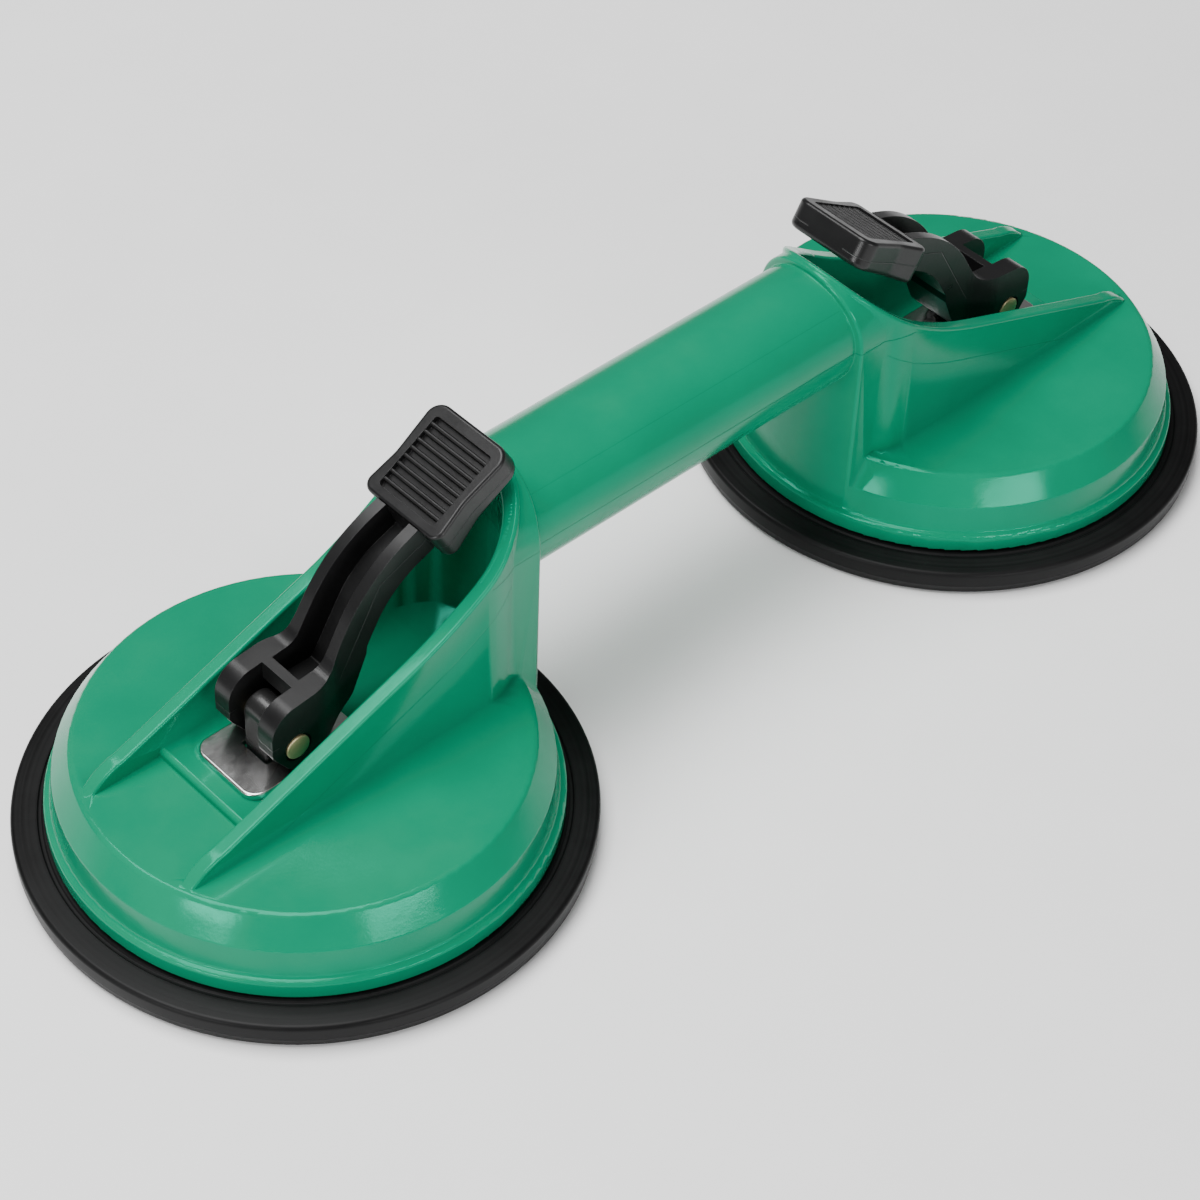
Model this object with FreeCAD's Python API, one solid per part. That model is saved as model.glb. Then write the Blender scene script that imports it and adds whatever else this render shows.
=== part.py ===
"""Double-cup suction lifter for floor tiles and glass, in millimetres, +Z up.

The origin lies on the floor, midway between the two cups.  +X runs along the
handle to the right cup and +Y points to the far side.  Both levers are shown
pressed down, which pulls the middle of each rubber cup up and holds the load.
Each cup assembly is drawn once in its own frame, with +X towards the handle,
and then placed at both ends.
"""
import FreeCAD, Part
import math
import os

Vector = FreeCAD.Vector

# ---------------------------------------------------------------- rubber cup
RUBBER_RADIUS = 59.0          # sealing rim on the floor
RUBBER_RIM_HEIGHT = 6.4       # top of the rim above the floor
RUBBER_RIM_FLARE = 0.5        # rim is wider at its top than on the floor
RUBBER_STEP = 0.1             # upper face rises inside the rim
RUBBER_SEAL_WIDTH = 10.0      # flat sealing ring on the floor
RUBBER_HOLLOW = 2.6           # depth of the suction space while locked
RUBBER_HOLLOW_WIDTH = 19.0    # sloping roof between the ring and full depth
RUBBER_FLOOR = 4.8            # rubber under the anchor disc
RUBBER_BOSS_WALL = 3.0        # collar of rubber round the anchor disc
REGISTER_HEIGHT = 3.0         # rubber ring that centres the housing
REGISTER_WIDTH = 2.6
SOFT_GAP = 0.3                # clearance of rubber beside rigid walls
RUBBER_ROOF_ROUND = 8.0
RUBBER_SEAL_ROUND = 4.0       # where the sealing ring turns into the roof
RUBBER_EDGE = 0.8
RUBBER_FILLET = 1.0

# ------------------------------------------------------------ housing (disc)
CUP_SPACING = 188.0           # between the axes of the two cups
RIM_SHOW = 6.5                # rubber seen outside the housing's lip
LIP_GAP = 0.3                 # shadow gap between lip and rubber
LIP_HEIGHT = 4.1              # height of the lip's outer face
GROOVE_DEPTH = 1.5            # neck above the lip
GROOVE_HEIGHT = 0.4
BAND_HEIGHT = 6.9             # upright band above the lip
BAND_DRAFT = 0.7
CONE_HEIGHT = 6.2             # sloping band below the deck
CONE_WIDTH = 4.1
DECK_THICKNESS = 3.0
SKIRT_THICKNESS = 3.2
DECK_EDGE = 1.6               # rounds of the bell's outside, from the deck down
BAND_EDGE = 1.0
GROOVE_ROUND = 0.9
LIP_TOP_EDGE = 1.1
LIP_FOOT_EDGE = 0.7
SKIRT_FOOT_EDGE = 0.5
BELL_INNER_ROUND = 2.0
WEB_COUNT = 8                 # stiffening webs under the deck
WEB_THICKNESS = 2.2
WEB_LENGTH = 22.0
WEB_GAP = 2.4                 # webs end above the rubber's centring ring

# ----------------------------------------------- horseshoe wall and platform
WALL_OUTER = 17.6             # half width over the horseshoe wall
WALL_THICKNESS = 3.4
WALL_SETBACK = 4.8            # open end of the walls from the edge of the deck
WALL_TIP_RISE = 1.3           # straight top edge above the deck at the open end
WALL_STRAIGHT_RUN = 0.603     # share of the wall's length with a straight top edge
WALL_STRAIGHT_RISE = 0.446    # share of the wall's climb made along it
WALL_NOSE_LENGTH = 9.0        # rounding of the low tip
WALL_NOSE_BULGE = 0.8
WALL_LIP = 1.7                # crest of the closed end above the collar
WALL_EDGE = 0.7               # small round on the top edges
PLATFORM_RISE = 2.0
PLATFORM_LEAD = 16.7          # platform in front of the lever pin
PLATFORM_EDGE = 1.2

# -------------------------------------------------------- handle and collars
TUBE_RADIUS = 13.9
HANDLE_RISE = 31.4            # axis of the handle above the deck
COLLAR_BAND = 1.5             # half width of the collar beyond the tube
COLLAR_SETBACK = 1.5          # collar face lies inside the lip radius
COLLAR_COVER = 0.5            # collar face in front of the closed end
COLLAR_EDGE = 0.8             # with the fillet at the tube, narrower than the band
COLLAR_FOOT = 0.5             # collar reaches below the top of the lip
TUBE_FILLET = 0.3

# ------------------------------------------------ pull rod, anchor and guide
PIN_OFFSET = 8.3              # lever pin lies this far outside the cup axis
EYE_LENGTH = 7.2              # pull eye along the cup's X axis
EYE_WIDTH = 6.8               # pull eye between the lever's cheeks
EYE_TOP = 6.2                 # top of the eye above the pin
EYE_EDGE = 0.6                # round of the foot
EYE_SIDE_EDGE = 0.5
EYE_CROWN_FLAT = 0.07         # short flat on the round top, each side of the middle
GUIDE_GAP = 0.35              # eye to guide, each side
GUIDE_WALL = 2.65             # boss that guides the eye below the deck
GUIDE_DEPTH = 5.0             # boss below the underside of the deck
ANCHOR_RADIUS = 20.0
ANCHOR_THICKNESS = 2.0
ANCHOR_EDGE = 0.4
STUD_RADIUS = 2.0             # threaded stud pressed into the anchor disc
STUD_ENGAGEMENT = 8.0         # stud inside the pull eye
STUD_CHAMFER = 0.5
STUD_BORE_SPARE = 0.6         # bore is deeper than the stud reaches
NUT_ACROSS_FLATS = 8.0
NUT_HEIGHT = 2.6
SPRING_RADIUS = 9.6           # mean radius of the return spring
SPRING_WIRE = 0.7             # radius of the spring wire
SPRING_TURNS = 3
SPRING_STEPS = 16             # straight stretches in each turn
SPRING_SIDES = 8
SPRING_END_GAP = 0.15
SEAT_THICKNESS = 0.8          # steel ring above the spring
SEAT_HALF_WIDTH = 1.6

# --------------------------------------------------------------- wear plate
PLATE_THICKNESS = 1.5
PLATE_HALF_WIDTH = 9.6
PLATE_LEAD = 12.1             # plate in front of the lever pin
PLATE_TAIL = 16.3             # plate behind the lever pin
PLATE_CORNER = 3.6
PLATE_REAR_CORNER = 1.8
PLATE_EDGE = 0.5
PLATE_HOLE_GAP = 0.5          # eye to plate hole, each side

# ------------------------------ fork and cam of the lever, measured from its pin
LEVER_TURN = 55.0             # degrees from pressed down to released
LEVER_STROKE = 1.6            # drop of the pull rod over that turn
CAM_RADIUS = 6.27             # pin to the cam's resting face, lever pressed down
CAM_GAP = 0.03                # cam to wear plate
CAM_REST = 1.6                # flat of the cam behind the point of contact
CAM_EDGE = 0.6
CAM_TOE_EDGE = 1.6
CAM_STEPS = 8
EAR_FRONT = 6.1               # from the pin to the front face of the fork
EAR_TOP = 11.2                # from the pin to the top of the fork
EAR_TOP_SLOPE = 6.0           # degrees
EAR_FRONT_ROUND = 6.2
EAR_HALF_WIDTH = 9.0
EAR_THICKNESS = 4.5
SLOT_GAP = 0.4                # free space round the pull eye
SLOT_REAR = 2.4               # rear wall of the slot behind the pin
HEEL_TOP = 11.0               # height of the step where the heel ends
HEEL_STEP = 0.8
HEEL_STEP_HEIGHT = 1.7
HEEL_BACK_ANGLE = 66.0        # degrees
HEEL_BACK_LENGTH = 9.6
HEEL_FOOT_ANGLE = 39.0        # degrees
HEEL_FOOT_LENGTH = 6.0
HEEL_BACK_ROUND = 5.0
HEEL_FOOT_ROUND = 7.0

# -------------------------------------- arm of the lever, measured from its pin
ARM_START = 10.1              # where the arm leaves the top of the fork
ARM_ANGLE = 60.0              # rise of the arm, degrees
ARM_DEPTH = 8.2
ARM_FLOOR = 1.5               # floor of the pocket
ARM_ROOT_ROUND = 4.5
ARM_KNEE_ROUND = 33.0
ARM_UNDER_ROUND = 22.0
ARM_TAPER = 12.0              # where the slim part of the arm begins
ARM_ROOT_HALF_WIDTH = 6.6
ARM_HALF_WIDTH = 6.1          # at the thumb pad
ARM_WALL = 2.65               # wall beside the pocket at the thumb pad
NECK_ANGLE = 22.0             # slope of the arm where it meets the pad, degrees
POCKET_WEB = 2.2              # wall between slot and pocket
POCKET_HALF_WIDTH = 4.1       # at the fork
POCKET_FOOT = 5.6             # lowest floor of the pocket above the pin
POCKET_ROUND = 0.6

# --------------------------------------------------- thumb pad of the lever
PAD_ANGLE = 30.7              # slope of the thumb pad, degrees
PAD_NECK = (33.2, 35.1)       # top of the pad's shoulder from the pin
PAD_LENGTH = 22.6
PAD_HALF_WIDTH = 11.3
PAD_TIP_TAPER = 0.3           # pad is slimmer at its tip
PAD_WAIST_TAPER = 1.1
PAD_WAIST = 9.4               # narrowest point from the shoulder
PAD_WAIST_ROUND = 12.0
PAD_NECK_DEPTH = 8.8
PAD_TIP_DEPTH = 6.4
PAD_CORNER = 3.4
PAD_NECK_CORNER = 2.4
PAD_TOP_EDGE = 0.8
PAD_LOWER_EDGE = 1.3
PAD_NECK_RIM = 2.3            # frame of the ribbed recess beside the arm
PAD_RIM = 2.9                 # frame of the ribbed recess elsewhere
PAD_RECESS = 1.4
PAD_RECESS_CORNER = 0.8
PAD_RIB_PITCH = 2.0
PAD_RIB_WIDTH = 0.9
PAD_RIB_DROP = 0.25           # ribs end below the frame
PAD_RIB_FLAT = 0.1            # width left flat on a rib's round top
PAD_OVERLAP = 4.0             # arm runs into the pad

# ------------------------------------------------------------------ lever pin
PIN_RADIUS = 2.0
PIN_RUNNING_GAP = 0.06        # pin in the pull eye
PIN_HEAD_OVERLAP = 0.75       # head beyond the shank
PIN_HEAD_HEIGHT = 1.1
PIN_HEAD_DOME = 0.45
PIN_RECESS_GAP = 0.5          # shallow seat round the head
PIN_RECESS_DEPTH = 0.5

# ------------------------------------------------------------ derived values
RUBBER_TOP = RUBBER_RIM_HEIGHT + RUBBER_STEP
REGISTER_TOP = RUBBER_TOP + REGISTER_HEIGHT
LIP_RADIUS = RUBBER_RADIUS - RIM_SHOW
LIP_BOTTOM = RUBBER_TOP + LIP_GAP
LIP_TOP = LIP_BOTTOM + LIP_HEIGHT
NECK_RADIUS = LIP_RADIUS - GROOVE_DEPTH
SKIRT_INNER = NECK_RADIUS - SKIRT_THICKNESS
BAND_TOP_HEIGHT = LIP_TOP + BAND_HEIGHT
BAND_TOP_RADIUS = NECK_RADIUS - BAND_DRAFT
DECK_RADIUS = BAND_TOP_RADIUS - CONE_WIDTH
DECK_HEIGHT = BAND_TOP_HEIGHT + CONE_HEIGHT
DECK_UNDERSIDE = DECK_HEIGHT - DECK_THICKNESS
BAND_INNER_TOP = BAND_TOP_HEIGHT - DECK_THICKNESS
PLATFORM_HEIGHT = DECK_HEIGHT + PLATFORM_RISE
PLATE_TOP = PLATFORM_HEIGHT + PLATE_THICKNESS
PIN_HEIGHT = PLATE_TOP + CAM_GAP + CAM_RADIUS
TUBE_HEIGHT = DECK_HEIGHT + HANDLE_RISE
COLLAR_HALF_WIDTH = TUBE_RADIUS + COLLAR_BAND
COLLAR_RADIUS = LIP_RADIUS - COLLAR_SETBACK
WALL_INNER = WALL_OUTER - WALL_THICKNESS
WALL_TIP = WALL_SETBACK - DECK_RADIUS
WALL_CREST = TUBE_HEIGHT + COLLAR_HALF_WIDTH + WALL_LIP
WALL_FAR_END = COLLAR_RADIUS - COLLAR_COVER
WALL_END_CENTRE = WALL_FAR_END - WALL_OUTER
GUIDE_BOTTOM = DECK_UNDERSIDE - GUIDE_DEPTH
GUIDE_RADIUS = math.hypot(EYE_LENGTH, EYE_WIDTH) / 2.0 + GUIDE_WALL
ANCHOR_HEIGHT = RUBBER_HOLLOW + RUBBER_FLOOR
ANCHOR_TOP = ANCHOR_HEIGHT + ANCHOR_THICKNESS
EYE_FOOT = ANCHOR_TOP + NUT_HEIGHT
STUD_TOP = EYE_FOOT + STUD_ENGAGEMENT
CAM_SHRINK = LEVER_STROKE / math.radians(LEVER_TURN)
SLOT_HALF_WIDTH = EAR_HALF_WIDTH - EAR_THICKNESS
SLOT_RADIUS = math.hypot(CAM_RADIUS, CAM_REST + CAM_SHRINK) + SLOT_GAP
PAD_TIP_HALF_WIDTH = PAD_HALF_WIDTH - PAD_TIP_TAPER
PIN_SEAT = EAR_HALF_WIDTH - PIN_RECESS_DEPTH
PIN_HEAD_RADIUS = PIN_RADIUS + PIN_HEAD_OVERLAP
REACH = 2.0 * CUP_SPACING     # longer than any cut needs


# ------------------------------------------------------------------- helpers
def direction(degrees):
    """Unit vector in the XZ plane, rising from +X."""
    angle = math.radians(degrees)
    return Vector(math.cos(angle), 0.0, math.sin(angle))


def crossing(point_a, degrees_a, point_b, degrees_b):
    """Point (x, z) where two lines of the XZ plane cross."""
    along_a = direction(degrees_a)
    along_b = direction(degrees_b)
    gap_x = point_b[0] - point_a[0]
    gap_z = point_b[1] - point_a[1]
    turn = along_a.x * along_b.z - along_a.z * along_b.x
    step = (gap_x * along_b.z - gap_z * along_b.x) / turn
    return point_a[0] + step * along_a.x, point_a[1] + step * along_a.z


def rounded_wire(corners, lift):
    """Closed wire through corners (u, v, radius), each rounded by an arc.

    lift turns a flat point (u, v) into a Vector in the plane wanted.
    """
    points = [lift(u, v) for u, v, radius in corners]
    count = len(corners)
    stretches = []
    for index, corner in enumerate(corners):
        here = points[index]
        before = (points[index - 1] - here).normalize()
        after = (points[(index + 1) % count] - here).normalize()
        half_turn = before.getAngle(after) / 2.0
        reach = corner[2] / math.tan(half_turn)
        bisector = (before + after).normalize()
        inset = corner[2] / math.sin(half_turn) - corner[2]
        stretches.append((here + before * reach, here + bisector * inset, here + after * reach))
    edges = []
    for index, (start, middle, end) in enumerate(stretches):
        if start.distanceToPoint(end) > 1e-6:
            edges.append(Part.Arc(start, middle, end).toShape())
        following = stretches[(index + 1) % count][0]
        if end.distanceToPoint(following) > 1e-6:
            edges.append(Part.LineSegment(end, following).toShape())
    return Part.Wire(edges)


def side_prism(corners, half_width, middle=0.0):
    """Solid with a rounded outline in XZ, extruded along Y both ways."""
    wire = rounded_wire(corners, lambda u, v: Vector(u, middle - half_width, v))
    return Part.Face(wire).extrude(Vector(0.0, 2.0 * half_width, 0.0))


def plan_prism(corners, low, high):
    """Solid with a rounded outline in XY, between two heights."""
    wire = rounded_wire(corners, lambda u, v: Vector(u, v, low))
    return Part.Face(wire).extrude(Vector(0.0, 0.0, high - low))


def lathe(corners):
    """Solid of revolution about Z from a rounded outline (radius, height, round)."""
    wire = rounded_wire(corners, lambda u, v: Vector(u, 0.0, v))
    return Part.Face(wire).revolve(Vector(0.0, 0.0, 0.0), Vector(0.0, 0.0, 1.0), 360.0)


def rod(radius, low, high, x=0.0):
    """Upright cylinder between two heights."""
    return Part.makeCylinder(radius, high - low, Vector(x, 0.0, low))


def cross_rod(radius, half_length, x, z):
    """Cylinder along Y, centred on the XZ plane."""
    return Part.makeCylinder(radius, 2.0 * half_length, Vector(x, -half_length, z), Vector(0.0, 1.0, 0.0))


def block(x_low, x_high, half_width, low, high):
    """Box centred on the XZ plane."""
    corner = Vector(x_low, -half_width, low)
    return Part.makeBox(x_high - x_low, 2.0 * half_width, high - low, corner)


def edges_where(shape, test):
    """Edges whose middle point passes a test."""
    chosen = []
    for edge in shape.Edges:
        middle = edge.valueAt((edge.FirstParameter + edge.LastParameter) / 2.0)
        if test(middle, edge):
            chosen.append(edge)
    return chosen


def only_solid(shape):
    """The single solid of a finished boolean result, tidied."""
    shape = shape.removeSplitter()
    if len(shape.Solids) != 1:
        raise ValueError("expected one solid, found %d" % len(shape.Solids))
    return shape.Solids[0]


# -------------------------------------------------------------- rubber parts
def make_rubber_cup():
    """Rubber cup: sealing rim, thin diaphragm, centring ring and boss."""
    rim_top = RUBBER_RADIUS + RUBBER_RIM_FLARE
    register_outer = SKIRT_INNER - SOFT_GAP
    register_inner = register_outer - REGISTER_WIDTH
    boss_inner = ANCHOR_RADIUS + SOFT_GAP
    boss_outer = boss_inner + RUBBER_BOSS_WALL
    corners = [
        (0.0, RUBBER_HOLLOW, 0.0),
        (RUBBER_RADIUS - RUBBER_SEAL_WIDTH - RUBBER_HOLLOW_WIDTH, RUBBER_HOLLOW, RUBBER_ROOF_ROUND),
        (RUBBER_RADIUS - RUBBER_SEAL_WIDTH, 0.0, RUBBER_SEAL_ROUND),
        (RUBBER_RADIUS, 0.0, RUBBER_EDGE),
        (rim_top, RUBBER_RIM_HEIGHT, RUBBER_EDGE),
        (LIP_RADIUS, RUBBER_TOP, RUBBER_FILLET),
        (register_outer, RUBBER_TOP, 0.0),
        (register_outer, REGISTER_TOP, RUBBER_EDGE),
        (register_inner, REGISTER_TOP, RUBBER_EDGE),
        (register_inner, RUBBER_TOP, RUBBER_FILLET),
        (boss_outer, RUBBER_TOP, RUBBER_FILLET),
        (boss_outer, ANCHOR_TOP, RUBBER_EDGE),
        (boss_inner, ANCHOR_TOP, 0.0),
        (boss_inner, ANCHOR_HEIGHT, 0.0),
        (0.0, ANCHOR_HEIGHT, 0.0),
    ]
    return lathe(corners)


# ---------------------------------------------------------------- the frame
def wall_profile():
    """Region of XZ under the top edge of the horseshoe wall.

    The edge climbs in a straight line and then in an arc that starts in the
    same direction and ends on the crest of the closed end.
    """
    start = Vector(WALL_TIP, 0.0, DECK_HEIGHT + WALL_TIP_RISE)
    crest = Vector(WALL_FAR_END, 0.0, WALL_CREST)
    climb = crest - start
    straight = Vector(climb.x * WALL_STRAIGHT_RUN, 0.0, climb.z * WALL_STRAIGHT_RISE)
    slope = math.degrees(math.atan2(straight.z, straight.x))
    along = direction(slope)
    knee = start + straight
    chord = crest - knee
    half_turn = along.getAngle(chord)
    radius = chord.Length / (2.0 * math.sin(half_turn))
    centre = knee + direction(slope + 90.0) * radius
    middle = centre + direction(slope - 90.0 + math.degrees(half_turn)) * radius
    shoulder = start + along * WALL_NOSE_LENGTH
    foot = Vector(WALL_TIP, 0.0, DECK_HEIGHT)
    nose = (shoulder + foot) * 0.5 + direction(slope + 90.0) * WALL_NOSE_BULGE
    crest_along = direction(slope + 2.0 * math.degrees(half_turn))
    beyond = crest + crest_along * WALL_THICKNESS
    back_top = Vector(WALL_FAR_END + WALL_OUTER, 0.0, beyond.z)
    back_foot = Vector(back_top.x, 0.0, DECK_UNDERSIDE)
    front_foot = Vector(WALL_TIP, 0.0, DECK_UNDERSIDE)
    edges = [
        Part.Arc(foot, nose, shoulder).toShape(),
        Part.LineSegment(shoulder, knee).toShape(),
        Part.Arc(knee, middle, crest).toShape(),
    ]
    outline = [crest, beyond, back_top, back_foot, front_foot, foot]
    for start_point, end_point in zip(outline, outline[1:]):
        edges.append(Part.LineSegment(start_point, end_point).toShape())
    face = Part.Face(Part.Wire(edges))
    face.translate(Vector(0.0, -2.0 * WALL_OUTER, 0.0))
    return face.extrude(Vector(0.0, 4.0 * WALL_OUTER, 0.0))


def horseshoe_plan(half_width, open_end, low, high):
    """U-shaped plan: straight sides and a half-round end."""
    end = WALL_END_CENTRE
    edges = [
        Part.LineSegment(Vector(open_end, -half_width, low), Vector(end, -half_width, low)).toShape(),
        Part.Arc(
            Vector(end, -half_width, low), Vector(end + half_width, 0.0, low), Vector(end, half_width, low)
        ).toShape(),
        Part.LineSegment(Vector(end, half_width, low), Vector(open_end, half_width, low)).toShape(),
        Part.LineSegment(Vector(open_end, half_width, low), Vector(open_end, -half_width, low)).toShape(),
    ]
    return Part.Face(Part.Wire(edges)).extrude(Vector(0.0, 0.0, high - low))


def make_horseshoe_wall():
    """Wall that carries the handle's pull into the disc, with rounded top edges."""
    high = WALL_CREST + WALL_OUTER
    outer = horseshoe_plan(WALL_OUTER, WALL_TIP, DECK_UNDERSIDE, high)
    inner = horseshoe_plan(WALL_INNER, WALL_TIP - WALL_OUTER, DECK_UNDERSIDE - WALL_OUTER, high + WALL_OUTER)
    wall = outer.cut(inner).common(wall_profile())

    def on_top_edge(middle, edge):
        upright = abs(edge.valueAt(edge.FirstParameter).z - edge.valueAt(edge.LastParameter).z)
        along = abs(edge.valueAt(edge.FirstParameter).x - edge.valueAt(edge.LastParameter).x)
        return middle.z > PLATFORM_HEIGHT and along > WALL_THICKNESS and upright > WALL_THICKNESS

    return wall.makeFillet(WALL_EDGE, edges_where(wall, on_top_edge))


def make_collar():
    """Arched block that joins the closed end of the horseshoe to the handle."""
    low = LIP_TOP - COLLAR_FOOT
    upright = block(WALL_END_CENTRE, LIP_RADIUS + COLLAR_EDGE, COLLAR_HALF_WIDTH, low, TUBE_HEIGHT)
    arch = Part.makeCylinder(
        COLLAR_HALF_WIDTH,
        LIP_RADIUS + COLLAR_EDGE - WALL_END_CENTRE,
        Vector(WALL_END_CENTRE, 0.0, TUBE_HEIGHT),
        Vector(1.0, 0.0, 0.0),
    )
    body = upright.fuse(arch).removeSplitter()
    body = body.common(rod(COLLAR_RADIUS, low, WALL_CREST + WALL_OUTER))

    def on_front_edge(middle, edge):
        radius = math.hypot(middle.x, middle.y)
        return abs(radius - COLLAR_RADIUS) < 0.01 and middle.z > low + COLLAR_EDGE

    body = body.makeFillet(COLLAR_EDGE, edges_where(body, on_front_edge))
    hollow = horseshoe_plan(WALL_INNER, 0.0, low - COLLAR_EDGE, WALL_CREST + WALL_OUTER)
    return body.cut(hollow)


def make_disc():
    """Bell-shaped disc with its lip, open below."""
    corners = [
        (0.0, DECK_HEIGHT, 0.0),
        (DECK_RADIUS, DECK_HEIGHT, DECK_EDGE),
        (BAND_TOP_RADIUS, BAND_TOP_HEIGHT, BAND_EDGE),
        (NECK_RADIUS, LIP_TOP + GROOVE_HEIGHT, GROOVE_ROUND),
        (LIP_RADIUS, LIP_TOP, LIP_TOP_EDGE),
        (LIP_RADIUS, LIP_BOTTOM, LIP_FOOT_EDGE),
        (SKIRT_INNER, LIP_BOTTOM, SKIRT_FOOT_EDGE),
        (SKIRT_INNER, BAND_INNER_TOP, BELL_INNER_ROUND),
        (DECK_RADIUS - SKIRT_THICKNESS, DECK_UNDERSIDE, BELL_INNER_ROUND),
        (0.0, DECK_UNDERSIDE, 0.0),
    ]
    return lathe(corners)


def make_platform():
    """Raised floor between the walls, with a rounded step at its open end."""
    start = -PIN_OFFSET - PLATFORM_LEAD
    far_end = WALL_END_CENTRE
    corners = [
        (start, DECK_UNDERSIDE, 0.0),
        (start, PLATFORM_HEIGHT, PLATFORM_EDGE),
        (far_end, PLATFORM_HEIGHT, 0.0),
        (far_end, DECK_UNDERSIDE, 0.0),
    ]
    floor = side_prism(corners, WALL_INNER + WALL_THICKNESS / 2.0)
    round_end = rod(WALL_INNER + WALL_THICKNESS / 2.0, DECK_UNDERSIDE, PLATFORM_HEIGHT, far_end)
    return floor.fuse(round_end)


def make_webs():
    """Stiffening webs under the deck and the boss that guides the pull eye."""
    low = REGISTER_TOP + WEB_GAP
    high = DECK_UNDERSIDE + DECK_THICKNESS / 2.0
    bite = SKIRT_THICKNESS / 2.0
    outer = SKIRT_INNER + bite
    corners = [
        (SKIRT_INNER - WEB_LENGTH, low, 0.0),
        (outer, low, 0.0),
        (outer, BAND_INNER_TOP, 0.0),
        (DECK_RADIUS - SKIRT_THICKNESS, high, 0.0),
        (SKIRT_INNER - WEB_LENGTH, high, 0.0),
    ]
    parts = []
    for index in range(WEB_COUNT):
        web = side_prism(corners, WEB_THICKNESS / 2.0)
        web.rotate(Vector(0.0, 0.0, 0.0), Vector(0.0, 0.0, 1.0), 360.0 * (index + 0.5) / WEB_COUNT)
        parts.append(web)
    parts.append(rod(GUIDE_RADIUS, GUIDE_BOTTOM, DECK_HEIGHT, -PIN_OFFSET))
    return parts


def guide_passage(gap, low, high):
    """Rectangular passage for the pull eye."""
    half_length = EYE_LENGTH / 2.0 + gap
    half_width = EYE_WIDTH / 2.0 + gap
    return block(-PIN_OFFSET - half_length, -PIN_OFFSET + half_length, half_width, low, high)


def make_housing():
    """One housing with all its walls, as drawn at a cup."""
    housing = make_disc()
    pieces = [make_platform(), make_horseshoe_wall(), make_collar()]
    housing = housing.multiFuse(pieces + make_webs())
    return housing.cut(guide_passage(GUIDE_GAP, LIP_BOTTOM, PLATE_TOP)).removeSplitter()


def make_handle():
    """Round handle between the two collars."""
    length = CUP_SPACING - 2.0 * (WALL_FAR_END - WALL_THICKNESS / 2.0)
    return Part.makeCylinder(
        TUBE_RADIUS, length, Vector(-length / 2.0, 0.0, TUBE_HEIGHT), Vector(1.0, 0.0, 0.0)
    )


def place(shape, side):
    """Copy of a cup-frame shape at the left (-1) or right (+1) cup."""
    copy = shape.copy()
    if side > 0:
        copy.rotate(Vector(0.0, 0.0, 0.0), Vector(0.0, 0.0, 1.0), 180.0)
    copy.translate(Vector(side * CUP_SPACING / 2.0, 0.0, 0.0))
    return copy


def make_frame():
    """One moulding: both housings and the handle."""
    housing = make_housing()
    frame = make_handle().multiFuse([place(housing, -1), place(housing, 1)]).removeSplitter()

    def on_tube_root(middle, edge):
        radius = math.hypot(middle.y, middle.z - TUBE_HEIGHT)
        return abs(radius - TUBE_RADIUS) < 0.01 and edge.Length > TUBE_RADIUS

    root_edges = edges_where(frame, on_tube_root)
    return only_solid(frame.makeFillet(TUBE_FILLET, root_edges))


# --------------------------------------------------------------- pull rod set
def make_anchor_disc():
    """Steel disc bonded into the middle of the rubber cup."""
    disc = rod(ANCHOR_RADIUS, ANCHOR_HEIGHT, ANCHOR_TOP)
    disc = disc.makeFillet(ANCHOR_EDGE, edges_where(disc, lambda middle, edge: edge.Length > ANCHOR_RADIUS))
    return disc.cut(rod(STUD_RADIUS, 0.0, REACH, -PIN_OFFSET))


def make_anchor_stud():
    """Threaded stud pressed through the anchor disc."""
    stud = rod(STUD_RADIUS, ANCHOR_HEIGHT, STUD_TOP, -PIN_OFFSET)
    top_edges = edges_where(stud, lambda middle, edge: abs(middle.z - STUD_TOP) < 0.01)
    return stud.makeChamfer(STUD_CHAMFER, top_edges)


def make_lock_nut():
    """Thin hexagon nut that locks the pull eye on its stud."""
    radius = NUT_ACROSS_FLATS / math.sqrt(3.0)
    corners = []
    for index in range(6):
        angle = math.radians(60.0 * index)
        corners.append((radius * math.cos(angle) - PIN_OFFSET, radius * math.sin(angle), 0.0))
    nut = plan_prism(corners, ANCHOR_TOP, ANCHOR_TOP + NUT_HEIGHT)
    return nut.cut(rod(STUD_RADIUS, 0.0, REACH, -PIN_OFFSET))


def make_pull_eye():
    """Rectangular rod end with a round top, bored for the lever's pin."""
    half = EYE_LENGTH / 2.0
    top = PIN_HEIGHT + EYE_TOP
    corners = [
        (-PIN_OFFSET - half, EYE_FOOT, EYE_EDGE),
        (-PIN_OFFSET - half, top, half - EYE_CROWN_FLAT),
        (-PIN_OFFSET + half, top, half - EYE_CROWN_FLAT),
        (-PIN_OFFSET + half, EYE_FOOT, EYE_EDGE),
    ]
    eye = side_prism(corners, EYE_WIDTH / 2.0)
    side_edges = edges_where(eye, lambda middle, edge: abs(abs(middle.y) - EYE_WIDTH / 2.0) < 0.01)
    eye = eye.makeFillet(EYE_SIDE_EDGE, side_edges)
    bore = cross_rod(PIN_RADIUS + PIN_RUNNING_GAP, EYE_WIDTH, -PIN_OFFSET, PIN_HEIGHT)
    return eye.cut(bore).cut(rod(STUD_RADIUS, 0.0, STUD_TOP + STUD_BORE_SPARE, -PIN_OFFSET))


def make_spring_seat():
    """Steel ring between the spring and the underside of the deck."""
    low = DECK_UNDERSIDE - SEAT_THICKNESS
    ring = rod(SPRING_RADIUS + SEAT_HALF_WIDTH, low, DECK_UNDERSIDE, -PIN_OFFSET)
    return ring.cut(rod(SPRING_RADIUS - SEAT_HALF_WIDTH, 0.0, REACH, -PIN_OFFSET))


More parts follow.
